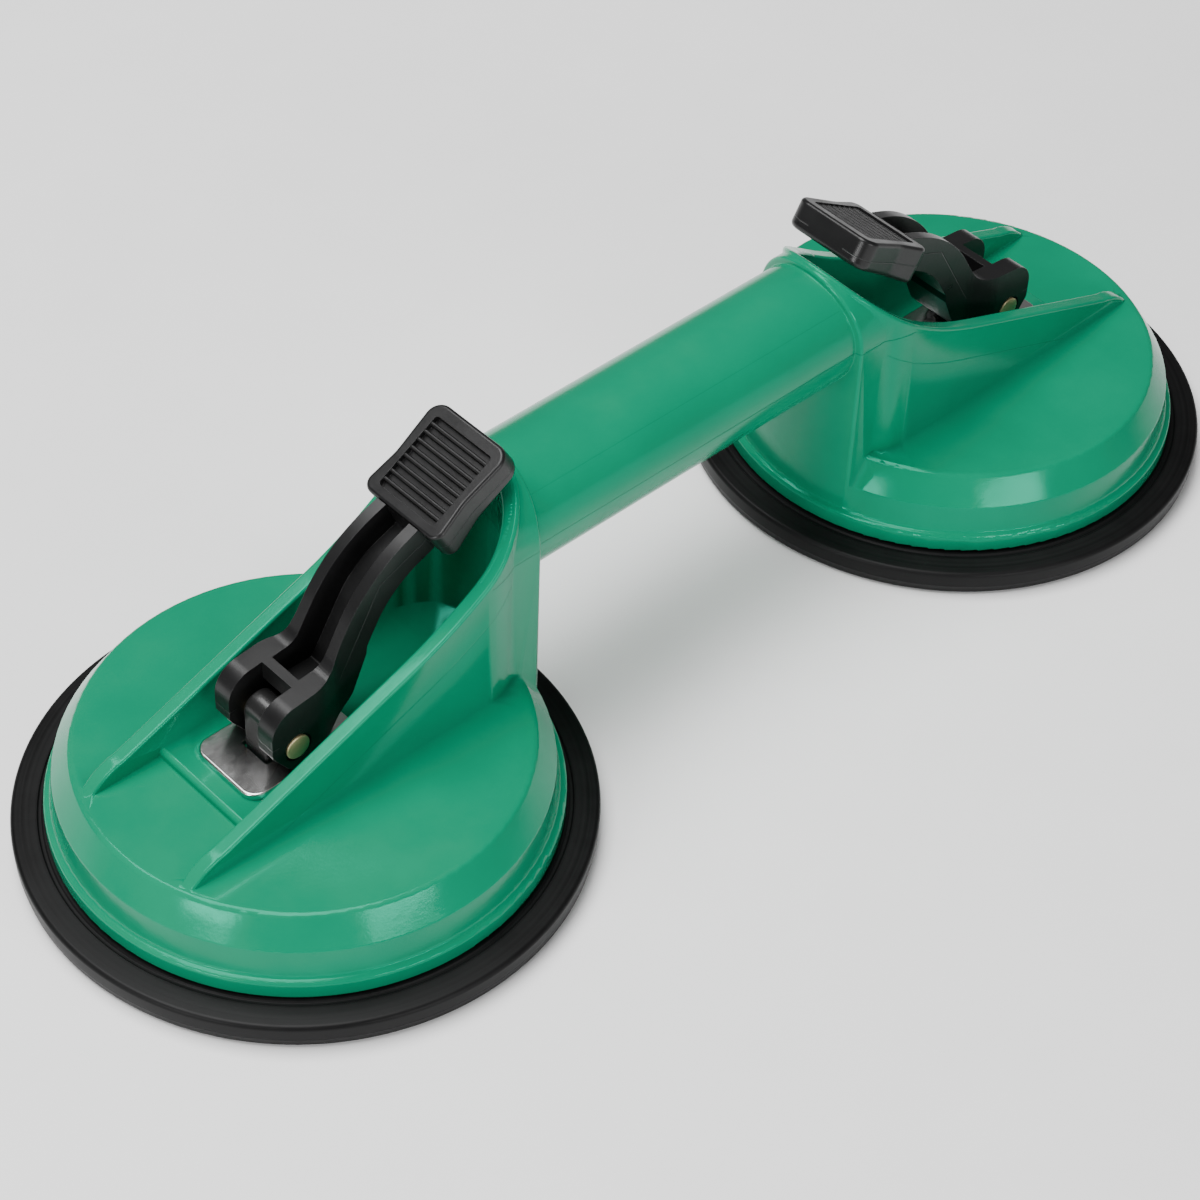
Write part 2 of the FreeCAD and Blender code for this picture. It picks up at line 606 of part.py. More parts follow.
def make_return_spring():
    """Compression spring that pushes the anchor disc down on release.

    The round wire is drawn with a few flat sides.
    """
    low = ANCHOR_TOP + SPRING_WIRE + SPRING_END_GAP
    high = DECK_UNDERSIDE - SEAT_THICKNESS - SPRING_WIRE - SPRING_END_GAP
    turn = 2.0 * math.pi / SPRING_STEPS
    count = SPRING_TURNS * SPRING_STEPS
    rise = (high - low) / count
    sections = []
    for index in range(count + 1):
        outward = Vector(math.cos(index * turn), math.sin(index * turn), 0.0)
        along = Vector(-outward.y * SPRING_RADIUS * turn, outward.x * SPRING_RADIUS * turn, rise).normalize()
        across = outward.cross(along)
        middle = outward * SPRING_RADIUS + Vector(-PIN_OFFSET, 0.0, low + rise * index)
        corners = []
        for side in range(SPRING_SIDES):
            angle = 2.0 * math.pi * (side + 0.5) / SPRING_SIDES
            corners.append(middle + (outward * math.cos(angle) + across * math.sin(angle)) * SPRING_WIRE)
        sections.append(Part.makePolygon(corners + corners[:1]))
    return Part.makeLoft(sections, True, True)


# ------------------------------------------------------------- lever and pin
def cam_points():
    """Corners of the cam, from the pin: heel side first, front side last.

    The distance from the pin down to the plate falls evenly with the lever's
    turn, so the flank is the involute of a small circle about the pin.
    """
    points = []
    for index in range(CAM_STEPS + 1):
        turn = math.radians(LEVER_TURN) * index / CAM_STEPS
        height = CAM_RADIUS - CAM_SHRINK * turn
        normal = Vector(-math.sin(turn), 0.0, -math.cos(turn))
        tangent = Vector(-math.cos(turn), 0.0, math.sin(turn))
        points.append(normal * height - tangent * CAM_SHRINK)
    return points


def step_from(point, degrees, length):
    """Point (x, z) at a distance from another."""
    along = direction(degrees)
    return point[0] + along.x * length, point[1] + along.z * length


def arm_root():
    """Point where the top of the arm leaves the top of the fork."""
    return ARM_START, EAR_TOP + ARM_START * math.tan(math.radians(EAR_TOP_SLOPE))


def arm_line(depth):
    """Corners of a line that follows the arm at a depth below its top.

    They are a point beside the fork, the knee and a point below the neck.
    """
    root = step_from(arm_root(), ARM_ANGLE - 90.0, depth)
    neck = step_from(PAD_NECK, NECK_ANGLE - 90.0, depth)
    return root, crossing(root, ARM_ANGLE, neck, NECK_ANGLE), neck


def at_height(point, degrees, height):
    """Point of a sloping line at a height."""
    return step_from(point, degrees, (height - point[1]) / math.sin(math.radians(degrees)))


def lever_side():
    """Side outline of the fork and arm about the pin, and the cam's bulge, in XZ."""
    cam = cam_points()
    facet = direction(180.0 - LEVER_TURN)
    toe = cam[-1] + facet * ((EAR_FRONT + cam[-1].x) / -facet.x)
    fork_front = crossing((0.0, EAR_TOP), EAR_TOP_SLOPE, (-EAR_FRONT, 0.0), 90.0)
    root, knee, neck = arm_line(0.0)
    under_root, under_knee, under_neck = arm_line(ARM_DEPTH)
    notch = at_height(under_root, ARM_ANGLE, HEEL_TOP + HEEL_STEP_HEIGHT)
    heel_top = step_from(at_height(under_root, ARM_ANGLE, HEEL_TOP), ARM_ANGLE - 90.0, HEEL_STEP)
    heel_back = step_from(heel_top, HEEL_BACK_ANGLE, -HEEL_BACK_LENGTH)
    heel_foot = step_from(heel_back, HEEL_FOOT_ANGLE, -HEEL_FOOT_LENGTH)
    corners = [
        (cam[0].x + CAM_REST, cam[0].z, CAM_EDGE),
        (heel_foot[0], heel_foot[1], HEEL_FOOT_ROUND),
        (heel_back[0], heel_back[1], HEEL_BACK_ROUND),
        (heel_top[0], heel_top[1], HEEL_STEP),
        (notch[0], notch[1], HEEL_STEP),
        (under_knee[0], under_knee[1], ARM_UNDER_ROUND),
        (under_neck[0], under_neck[1], 0.0),
    ]
    for depth in (ARM_DEPTH, PAD_TOP_EDGE):
        end = step_from(step_from(PAD_NECK, PAD_ANGLE - 90.0, depth), PAD_ANGLE, PAD_OVERLAP)
        corners.append((end[0], end[1], 0.0))
    shoulder = step_from(neck, PAD_ANGLE - 90.0, PAD_TOP_EDGE)
    corners += [
        (shoulder[0], shoulder[1], 0.0),
        (neck[0], neck[1], 0.0),
        (knee[0], knee[1], ARM_KNEE_ROUND),
        (root[0], root[1], ARM_ROOT_ROUND),
        (fork_front[0], fork_front[1], EAR_FRONT_ROUND),
        (toe.x, toe.z, CAM_TOE_EDGE),
        (cam[-1].x, cam[-1].z, 0.0),
        (cam[0].x, cam[0].z, 0.0),
    ]
    wire = rounded_wire(corners, lambda u, v: Vector(u, 0.0, v))
    flank = Part.BSplineCurve()
    flank.interpolate(cam)
    bulge = Part.Face(Part.Wire([flank.toShape(), Part.LineSegment(cam[-1], cam[0]).toShape()]))
    return Part.Face(wire), bulge


def tapered_plan(points):
    """Tall prism whose half width follows points (x, half width, round)."""
    first = points[0]
    last = points[-1]
    side = [(-REACH, first[1], 0.0)] + points + [(REACH, last[1], 0.0)]
    corners = [(x, -half, radius) for x, half, radius in side]
    corners += [(x, half, radius) for x, half, radius in reversed(side)]
    return plan_prism(corners, -REACH, REACH)


def make_lever_arm():
    """Fork and arm, before the slot and pockets are cut."""
    depth = Vector(0.0, 2.0 * PAD_HALF_WIDTH, 0.0)
    solids = []
    for face in lever_side():
        face.translate(depth * -0.5)
        solids.append(face.extrude(depth))
    plan = tapered_plan(
        [
            (EAR_FRONT, EAR_HALF_WIDTH, 2.0 * EAR_THICKNESS),
            (ARM_TAPER, ARM_ROOT_HALF_WIDTH, 2.0 * EAR_THICKNESS),
            (PAD_NECK[0], ARM_HALF_WIDTH, 0.0),
        ]
    )
    return solids[0].fuse(solids[1]).common(plan).removeSplitter()


def to_pad_frame(shape):
    """Move a shape drawn flat at the origin onto the sloping pad."""
    shape.rotate(Vector(0.0, 0.0, 0.0), Vector(0.0, 1.0, 0.0), -PAD_ANGLE)
    shape.translate(Vector(PAD_NECK[0], 0.0, PAD_NECK[1]))
    return shape


def make_pad():
    """Thumb pad: a rounded wedge, slightly waisted."""
    side = side_prism(
        [
            (0.0, -PAD_NECK_DEPTH, 0.0),
            (PAD_LENGTH, -PAD_TIP_DEPTH, 0.0),
            (PAD_LENGTH, 0.0, 0.0),
            (0.0, 0.0, 0.0),
        ],
        PAD_HALF_WIDTH,
    )
    half_plan = [
        (0.0, PAD_HALF_WIDTH, PAD_NECK_CORNER),
        (PAD_WAIST, PAD_HALF_WIDTH - PAD_WAIST_TAPER, PAD_WAIST_ROUND),
        (PAD_LENGTH, PAD_TIP_HALF_WIDTH, PAD_CORNER),
    ]
    corners = [(x, -half, radius) for x, half, radius in half_plan]
    corners += [(x, half, radius) for x, half, radius in reversed(half_plan)]
    pad = side.common(plan_prism(corners, -2.0 * PAD_NECK_DEPTH, PAD_NECK_DEPTH))
    top_edges = edges_where(pad, lambda middle, edge: abs(middle.z) < 0.01)
    pad = pad.makeFillet(PAD_TOP_EDGE, top_edges)
    slope = (PAD_NECK_DEPTH - PAD_TIP_DEPTH) / PAD_LENGTH
    low_edges = edges_where(pad, lambda middle, edge: middle.z < 0.01 + slope * middle.x - PAD_NECK_DEPTH)
    return to_pad_frame(pad.makeFillet(PAD_LOWER_EDGE, low_edges))


def make_pad_recess():
    """Recess in the pad between its cross ribs."""
    start = PAD_NECK_RIM
    end = PAD_LENGTH - PAD_RIM
    half_width = PAD_TIP_HALF_WIDTH - PAD_RIM
    recess = plan_prism(
        [
            (start, -half_width, PAD_RECESS_CORNER),
            (end, -half_width, PAD_RECESS_CORNER),
            (end, half_width, PAD_RECESS_CORNER),
            (start, half_width, PAD_RECESS_CORNER),
        ],
        -PAD_RECESS,
        PAD_RECESS,
    )
    count = int((end - start) / PAD_RIB_PITCH)
    first = (start + end - (count - 1) * PAD_RIB_PITCH) / 2.0
    half = PAD_RIB_WIDTH / 2.0
    crown = half - PAD_RIB_FLAT / 2.0
    for index in range(count):
        middle = first + index * PAD_RIB_PITCH
        rib = side_prism(
            [
                (middle - half, -PAD_RECESS, 0.0),
                (middle - half, -PAD_RIB_DROP, crown),
                (middle + half, -PAD_RIB_DROP, crown),
                (middle + half, -PAD_RECESS, 0.0),
            ],
            half_width,
        )
        recess = recess.cut(rib)
    return to_pad_frame(recess)


def make_fork_slot():
    """Free space for the pull eye, open to the front, top and bottom."""
    sweep = cross_rod(SLOT_RADIUS, SLOT_HALF_WIDTH, 0.0, 0.0)
    upper = side_prism(
        [
            (-2.0 * EAR_TOP, 0.0, 0.0),
            (SLOT_REAR, 0.0, 0.0),
            (SLOT_REAR, 2.0 * EAR_TOP, 0.0),
            (-2.0 * EAR_TOP, 2.0 * EAR_TOP, 0.0),
        ],
        SLOT_HALF_WIDTH,
    )
    return sweep.fuse(upper)


def make_arm_pocket():
    """Long pocket in the top of the arm."""
    front = SLOT_REAR + POCKET_WEB
    root, knee, neck = arm_line(ARM_DEPTH - ARM_FLOOR)
    foot = at_height(root, ARM_ANGLE, POCKET_FOOT)
    above = step_from(PAD_NECK, NECK_ANGLE + 90.0, ARM_DEPTH)
    pocket = side_prism(
        [
            (front, POCKET_FOOT, POCKET_ROUND),
            (foot[0], foot[1], POCKET_ROUND),
            (knee[0], knee[1], ARM_UNDER_ROUND),
            (neck[0], neck[1], POCKET_ROUND),
            (above[0], above[1], 0.0),
            (front, above[1], 0.0),
        ],
        POCKET_HALF_WIDTH,
    )
    plan = tapered_plan(
        [
            (ARM_START, POCKET_HALF_WIDTH, 0.0),
            (PAD_NECK[0], ARM_HALF_WIDTH - ARM_WALL, 0.0),
        ]
    )
    return pocket.common(plan)


def make_lever():
    """Cam lever: fork with two cheeks, pocketed arm and ribbed thumb pad."""
    lever = make_lever_arm().fuse(make_pad()).removeSplitter()
    cuts = [make_fork_slot(), make_arm_pocket(), make_pad_recess(), cross_rod(PIN_RADIUS, REACH, 0.0, 0.0)]
    for side in (-1.0, 1.0):
        seat = Vector(0.0, side * PIN_SEAT, 0.0)
        outward = Vector(0.0, side, 0.0)
        cuts.append(Part.makeCylinder(PIN_HEAD_RADIUS + PIN_RECESS_GAP, EAR_HALF_WIDTH, seat, outward))
    for cut in cuts:
        lever = lever.cut(cut)
    lever = only_solid(lever)
    lever.translate(Vector(-PIN_OFFSET, 0.0, PIN_HEIGHT))
    return lever


def make_pivot_pin():
    """Plated rivet pin with a domed head at each end."""
    pin = cross_rod(PIN_RADIUS, PIN_SEAT, 0.0, 0.0)
    outer = PIN_SEAT + PIN_HEAD_HEIGHT
    for side in (-1.0, 1.0):
        seat = Vector(0.0, side * PIN_SEAT, 0.0)
        head = Part.makeCylinder(PIN_HEAD_RADIUS, PIN_HEAD_HEIGHT, seat, Vector(0.0, side, 0.0))
        rim = edges_where(head, lambda middle, edge: abs(abs(middle.y) - outer) < 0.01)
        pin = pin.fuse(head.makeFillet(PIN_HEAD_DOME, rim))
    pin = only_solid(pin)
    pin.translate(Vector(-PIN_OFFSET, 0.0, PIN_HEIGHT))
    return pin


def make_wear_plate():
    """Polished steel plate under the cam, with a hole for the pull eye."""
    start = -PIN_OFFSET - PLATE_LEAD
    end = -PIN_OFFSET + PLATE_TAIL
    plate = plan_prism(
        [
            (start, -PLATE_HALF_WIDTH, PLATE_CORNER),
            (end, -PLATE_HALF_WIDTH, PLATE_REAR_CORNER),
            (end, PLATE_HALF_WIDTH, PLATE_REAR_CORNER),
            (start, PLATE_HALF_WIDTH, PLATE_CORNER),
        ],
        PLATFORM_HEIGHT,
        PLATE_TOP,
    )
    rim = edges_where(plate, lambda middle, edge: abs(middle.z - PLATE_TOP) < 0.01)
    plate = plate.makeFillet(PLATE_EDGE, rim)
    return plate.cut(guide_passage(PLATE_HOLE_GAP, 0.0, REACH))


# --------------------------------------------------------------------- output
def main():
    """Build every node and write one STEP file for each."""
    os.makedirs("parts", exist_ok=True)
    nodes = {"frame_body": make_frame()}
    cup_parts = {
        "rubber_cup": make_rubber_cup(),
        "anchor_disc": make_anchor_disc(),
        "anchor_stud": make_anchor_stud(),
        "lock_nut": make_lock_nut(),
        "pull_eye": make_pull_eye(),
        "spring_seat": make_spring_seat(),
        "return_spring": make_return_spring(),
        "wear_plate": make_wear_plate(),
        "cam_lever": make_lever(),
        "pivot_pin": make_pivot_pin(),
    }
    for side, suffix in ((-1, "left"), (1, "right")):
        for name, shape in cup_parts.items():
            nodes[name + "_" + suffix] = place(shape, side)
    for name, shape in nodes.items():
        if not shape.isValid() or len(shape.Solids) != 1:
            print("check", name, shape.isValid(), len(shape.Solids))
        shape.exportStep(os.path.join("parts", name + ".step"))
    print(len(nodes), "nodes written")


main()
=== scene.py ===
"""Looks of a double cup suction lifter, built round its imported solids.

Everything is in metres, in the same frame as the solids: the origin lies on
the floor midway between the cups and +X runs along the handle.
"""
import logging
import math
from dataclasses import dataclass, field
from enum import Enum
from functools import partialmethod
from typing import Sequence

import bmesh
import bpy
from mathutils import Matrix, Vector


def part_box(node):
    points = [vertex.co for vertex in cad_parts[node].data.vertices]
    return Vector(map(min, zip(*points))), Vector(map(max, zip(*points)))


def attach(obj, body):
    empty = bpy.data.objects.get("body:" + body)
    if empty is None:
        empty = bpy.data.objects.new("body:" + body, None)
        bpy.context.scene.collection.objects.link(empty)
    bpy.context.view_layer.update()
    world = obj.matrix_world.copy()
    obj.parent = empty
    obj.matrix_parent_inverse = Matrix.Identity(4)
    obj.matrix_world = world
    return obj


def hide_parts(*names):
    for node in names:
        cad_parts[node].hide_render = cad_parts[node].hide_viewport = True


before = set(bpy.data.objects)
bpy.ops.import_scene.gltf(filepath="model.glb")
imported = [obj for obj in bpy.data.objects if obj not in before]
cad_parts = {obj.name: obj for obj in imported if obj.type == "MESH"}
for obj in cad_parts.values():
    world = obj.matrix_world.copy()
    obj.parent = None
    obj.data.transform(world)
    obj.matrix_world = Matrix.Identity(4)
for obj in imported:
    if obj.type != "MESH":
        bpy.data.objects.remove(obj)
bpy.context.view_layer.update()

MM = 0.001
SIDES = ("left", "right")

# Vector kept on turned meshes: distance from the axis and height along it.
TURNING = "turning"

# The horseshoe walls. Distances run from a cup's axis towards the handle.
CUP = 94.0 * MM  # cup's axis, from the middle of the handle
WALL_END = 32.9 * MM  # centre of the closed round end
WALL_KNEE = 14.016 * MM  # where the top edge turns from a line to an arc
WALL_ARC = (-17.1255 * MM, 128.3281 * MM)  # centre of that arc, and its height
WALL_RADIUS = 87.6925 * MM

# Cleaning of meshes.
SOLID_WELD = 0.002 * MM
TURNED_WELD = 0.001 * MM
FLAT_ANGLE = 0.4  # degrees
LARGE_FACE_WEIGHT = 80  # at 50 all faces would count alike

# Rounds on the edges of dressed solids.
LEVER_ROUND = 0.4 * MM
PLATE_ROUND = 0.15 * MM

# Corners of the rubber rim's fine details in millimetres: outwards, depth, round.
SOLE_GROOVE = ((3.0, 0.0, 0.0), (3.2, 0.25, 0.1), (3.8, 0.25, 0.1), (4.0, 0.0, 0.0))
LIP_GROOVE = ((1.6, 0.02, 0.0), (1.3, 0.3, 0.2), (0.7, 0.3, 0.2), (0.4, 0.0, 0.0))

Socket = bpy.types.NodeSocket
Pair = tuple[float, float]
Triple = tuple[float, float, float]

logging.basicConfig(level=logging.INFO, format="%(name)s: %(message)s")
LOG = logging.getLogger("lifter")


class Axis(Enum):
    """Direction of a turned piece."""

    X = Vector((1.0, 0.0, 0.0))
    Y = Vector((0.0, 1.0, 0.0))
    Z = Vector((0.0, 0.0, 1.0))


# ------------------------------------------------------------------ finishes
@dataclass(frozen=True)
class SlopingLine:
    """Line of the XZ plane through a point, in a cup's own frame.

    Attributes:
        along: distance of the point from the cup's axis.
        up: height of the point.
        degrees: slope of the line.
    """

    along: float
    up: float
    degrees: float


class NodeSheet:
    """Small helper that lays out the nodes of one material."""

    # Share of a line's half width that has its full strength.
    LINE_CORE = 0.25

    def __init__(self, name: str) -> None:
        """Start a material with its surface shader.

        Args:
            name: name of the material.
        """
        self.material = bpy.data.materials.new(name)
        self.material.use_nodes = True
        self.tree = self.material.node_tree
        self.tree.nodes.clear()
        self.output = self.add("ShaderNodeOutputMaterial")
        self.shader = self.add("ShaderNodeBsdfPrincipled")
        self.link(self.shader.outputs["BSDF"], self.output.inputs["Surface"])
        self.place = self.add("ShaderNodeTexCoord").outputs["Object"]

    def add(self, kind: str) -> bpy.types.Node:
        """Add a node.

        Args:
            kind: type of the node.

        Returns:
            The new node.
        """
        return self.tree.nodes.new(kind)

    def link(self, source: Socket, target: Socket) -> None:
        """Join two sockets.

        Args:
            source: output of one node.
            target: input of another.
        """
        self.tree.links.new(source, target)

    def stretched(self, scale: Sequence[float]) -> Socket:
        """Object coordinates stretched along the axes.

        Args:
            scale: factor along X, Y and Z.

        Returns:
            The stretched coordinates.
        """
        node = self.add("ShaderNodeMapping")
        node.inputs["Scale"].default_value = scale
        self.link(self.place, node.inputs["Vector"])
        return node.outputs["Vector"]

    def noise(
        self,
        scale: float,
        detail: float = 3.0,
        roughness: float = 0.55,
        place: Socket | None = None,
    ) -> Socket:
        """Fractal noise.

        Args:
            scale: spots per metre.
            detail: number of finer layers.
            roughness: strength of the finer layers.
            place: coordinates to read, or None for the object's own.

        Returns:
            A value near 0.5 that varies over the surface.
        """
        node = self.add("ShaderNodeTexNoise")
        node.inputs["Scale"].default_value = scale
        node.inputs["Detail"].default_value = detail
        node.inputs["Roughness"].default_value = roughness
        self.link(place or self.place, node.inputs["Vector"])
        return node.outputs["Fac"]

    def ramp(self, value: Socket, low: float, high: float, reach: Pair = (0.3, 0.7)) -> Socket:
        """Value stretched from one range to another.

        Args:
            value: socket to read.
            low: result at the lower end.
            high: result at the upper end.
            reach: lower and upper end of the value.

        Returns:
            The new value.
        """
        node = self.add("ShaderNodeMapRange")
        node.inputs["From Min"].default_value = reach[0]
        node.inputs["From Max"].default_value = reach[1]
        node.inputs["To Min"].default_value = low
        node.inputs["To Max"].default_value = high
        self.link(value, node.inputs["Value"])
        return node.outputs["Result"]

    def kept(self, attribute: str) -> Socket:
        """Vector kept on the mesh.

        Args:
            attribute: its name.

        Returns:
            The vector.
        """
        node = self.add("ShaderNodeAttribute")
        node.attribute_name = attribute
        return node.outputs["Vector"]

    def split(self) -> tuple[Socket, Socket, Socket]:
        """Object coordinates one by one.

        Returns:
            X, Y and Z.
        """
        node = self.add("ShaderNodeSeparateXYZ")
        self.link(self.place, node.inputs["Vector"])
        return node.outputs["X"], node.outputs["Y"], node.outputs["Z"]

    def arithmetic(self, operation: str, *terms: Socket | float) -> Socket:
        """Result of one arithmetic step.

        Args:
            operation: name of the step.
            terms: sockets or numbers it works on.

        Returns:
            The result.
        """
        node = self.add("ShaderNodeMath")
        node.operation = operation
        for term, target in zip(terms, node.inputs):
            if isinstance(term, Socket):
                self.link(term, target)
            else:
                target.default_value = term
        return node.outputs["Value"]

    # Single steps: minus(a, b) is a - b, and above(a, b) is one where a is greater than b.
    plus = partialmethod(arithmetic, "ADD")
    minus = partialmethod(arithmetic, "SUBTRACT")
    times = partialmethod(arithmetic, "MULTIPLY")
    root = partialmethod(arithmetic, "SQRT")
    size = partialmethod(arithmetic, "ABSOLUTE")
    larger = partialmethod(arithmetic, "MAXIMUM")
    above = partialmethod(arithmetic, "GREATER_THAN")
    below = partialmethod(arithmetic, "LESS_THAN")

    def switch(self, choice: Socket, off: Socket, on: Socket) -> Socket:
        """One of two values.

        Args:
            choice: nought or one.
            off: value at nought.
            on: value at one.

        Returns:
            The chosen value.
        """
        return self.plus(off, self.times(choice, self.minus(on, off)))

    def beyond(self, along: Socket, up: Socket, line: SlopingLine) -> Socket:
        """Distance above a sloping line of the XZ plane.

        Args:
            along: horizontal place.
            up: height.
            line: the line.

        Returns:
            Metres above the line, negative below it.
        """
        slope = math.radians(line.degrees)
        across = self.times(self.minus(along, line.along), -math.sin(slope))
        rise = self.times(self.minus(up, line.up), math.cos(slope))
        return self.plus(across, rise)

    def fine_line(self, distance: Socket, half_width: float) -> Socket:
        """Line where a distance is nought.

        Args:
            distance: metres from the line, on either side.
            half_width: metres from the middle of the line to its edge.

        Returns:
            One on the line, falling to nought beside it.
        """
        return self.ramp(self.size(distance), 1.0, 0.0, (self.LINE_CORE * half_width, half_width))

    def tint(
        self, value: Socket, first: Sequence[float] | Socket, second: Sequence[float] | Socket
    ) -> Socket:
        """Colour between two tints.

        Args:
            value: share of the second tint.
            first: red, green and blue, or a colour socket.
            second: red, green and blue, or a colour socket.

        Returns:
            The mixed colour.
        """
        node = self.add("ShaderNodeMix")
        node.data_type = "RGBA"
        colours = [socket for socket in node.inputs if socket.type == "RGBA"]
        for colour, target in zip((first, second), colours):
            if isinstance(colour, Socket):
                self.link(colour, target)
            else:
                target.default_value = (*colour, 1.0)
        self.link(value, node.inputs["Factor"])
        return [socket for socket in node.outputs if socket.type == "RGBA"][0]

    def bump(
        self, height: Socket, depth: float, strength: float = 1.0, under: Socket | None = None
    ) -> Socket:
        """Bumps of a given depth.

        Args:
            height: value between 0 and 1.
            depth: height of the bumps in metres.
            strength: share of the full effect.
            under: normal of coarser bumps below these.

        Returns:
            The bent normal.
        """
        node = self.add("ShaderNodeBump")
        node.inputs["Distance"].default_value = depth
        node.inputs["Strength"].default_value = strength
        self.link(height, node.inputs["Height"])
        if under is not None:
            self.link(under, node.inputs["Normal"])
        return node.outputs["Normal"]

    def finish(self, **sockets: object) -> bpy.types.Material:
        """Feed the shader.

        Args:
            sockets: shader inputs with spaces written as underscores, each a
                number, a colour or a socket.

        Returns:
            The finished material.
        """
        for name, value in sockets.items():
            target = self.shader.inputs[name.replace("_", " ")]
            if isinstance(value, Socket):
                self.link(value, target)
            elif isinstance(value, tuple):
                target.default_value = (*value, 1.0)
            else:
                target.default_value = value
        return self.material


@dataclass(frozen=True)
class HousingSeams:
    """Where the halves of the green mould met.

    Attributes:
        cup: distance of a cup's axis from the middle.
        handle: height of the handle's axis.
        tube_end: half length of the bare tube.
        collar_end: half length of the tube and its collars.
        wall_side: the walls lie further out than this.
        wall_foot: the line stays above this height.
        wall_drop: depth of the line under the walls' top edge.
        wall_top: straight stretch of that edge.
        knee: where the edge turns from the line to the arc.
        arc_centre: centre of the arc.
        arc_radius: radius of the arc.
        width: half width of the lines.
        upper_share: strength of the upper line of the handle.
        wall_share: strength of the line of the walls.
    """

    cup: float = CUP
    handle: float = 55.4 * MM
    tube_end: float = 43.2 * MM
    collar_end: float = 60.0 * MM
    wall_side: float = 15.8 * MM
    wall_foot: float = 24.6 * MM
    wall_drop: float = 8.6 * MM
    wall_top: SlopingLine = SlopingLine(-41.4 * MM, 25.3 * MM, 20.8)
    knee: float = WALL_KNEE
    arc_centre: Pair = WALL_ARC
    arc_radius: float = WALL_RADIUS
    width: float = 0.16 * MM
    upper_share: float = 0.45
    wall_share: float = 0.6

    def mask(self, sheet: NodeSheet) -> Socket:
        """One on the lines.

        Args:
            sheet: material under work.

        Returns:
            Strength of the line over the surface.
        """
        x, y, z = sheet.split()
        from_middle = sheet.size(x)
        side = sheet.size(y)
        height = sheet.minus(z, self.handle)
        equator = sheet.times(
            sheet.fine_line(height, self.width), sheet.below(from_middle, self.collar_end)
        )
        upper = sheet.times(
            sheet.fine_line(sheet.minus(height, side), self.width),
            sheet.below(from_middle, self.tube_end),
        )
        along = sheet.minus(self.cup, from_middle)
        straight = sheet.times(sheet.beyond(along, z, self.wall_top), -1.0)
        out = sheet.minus(along, self.arc_centre[0])
        down = sheet.minus(z, self.arc_centre[1])
        reach = sheet.root(sheet.plus(sheet.times(out, out), sheet.times(down, down)))
        curved = sheet.minus(reach, self.arc_radius)
        depth = sheet.switch(sheet.above(along, self.knee), straight, curved)
        on_wall = sheet.times(sheet.above(side, self.wall_side), sheet.above(z, self.wall_foot))
        wall = sheet.times(
            sheet.fine_line(sheet.minus(depth, self.wall_drop), self.width), on_wall
        )
        handle = sheet.larger(equator, sheet.times(upper, self.upper_share))
        return sheet.larger(handle, sheet.times(wall, self.wall_share))


@dataclass(frozen=True)
class LeverSeams:
    """Where the halves of the lever's mould met.

    Attributes:
        pin: distance of the pin from the middle of the lifter.
        arm_top: top edge of the arm, seen from the side.
        neck_top: top edge of the neck before the pad.
        pad_top: top face of the pad.
        depth: depth of the line under the top edge.
        outer_side: the outer flanks lie further out than this.
        ear_front: the line of the ears lies before this.
        ear_height: height of the line of the ears.
        width: half width of the lines.
    """

    pin: float = 102.3 * MM
    arm_top: SlopingLine = SlopingLine(10.1 * MM, 46.06 * MM, 60.0)
    neck_top: SlopingLine = SlopingLine(33.2 * MM, 68.9 * MM, 22.0)
    pad_top: SlopingLine = SlopingLine(33.2 * MM, 68.9 * MM, 30.7)
    depth: float = 4.2 * MM
    outer_side: float = 5.0 * MM
    ear_front: float = -4.4 * MM
    ear_height: float = 36.5 * MM
    width: float = 0.14 * MM

    def mask(self, sheet: NodeSheet) -> Socket:
        """One on the lines.

        Args:
            sheet: material under work.

        Returns:
            Strength of the line over the surface.
        """
        x, y, z = sheet.split()
        along = sheet.minus(self.pin, sheet.size(x))
        side = sheet.size(y)
        arm = sheet.larger(
            sheet.beyond(along, z, self.arm_top), sheet.beyond(along, z, self.neck_top)
        )
        pad = sheet.beyond(along, z, self.pad_top)
        height = sheet.switch(sheet.above(along, self.pad_top.along), arm, pad)
        above_fork = sheet.above(z, self.arm_top.up - self.depth)
        outside = sheet.times(sheet.above(side, self.outer_side), above_fork)
        flank = sheet.times(sheet.fine_line(sheet.plus(height, self.depth), self.width), outside)
        ear = sheet.times(
            sheet.fine_line(sheet.minus(z, self.ear_height), self.width),
            sheet.below(along, self.ear_front),
        )
        return sheet.larger(flank, ear)


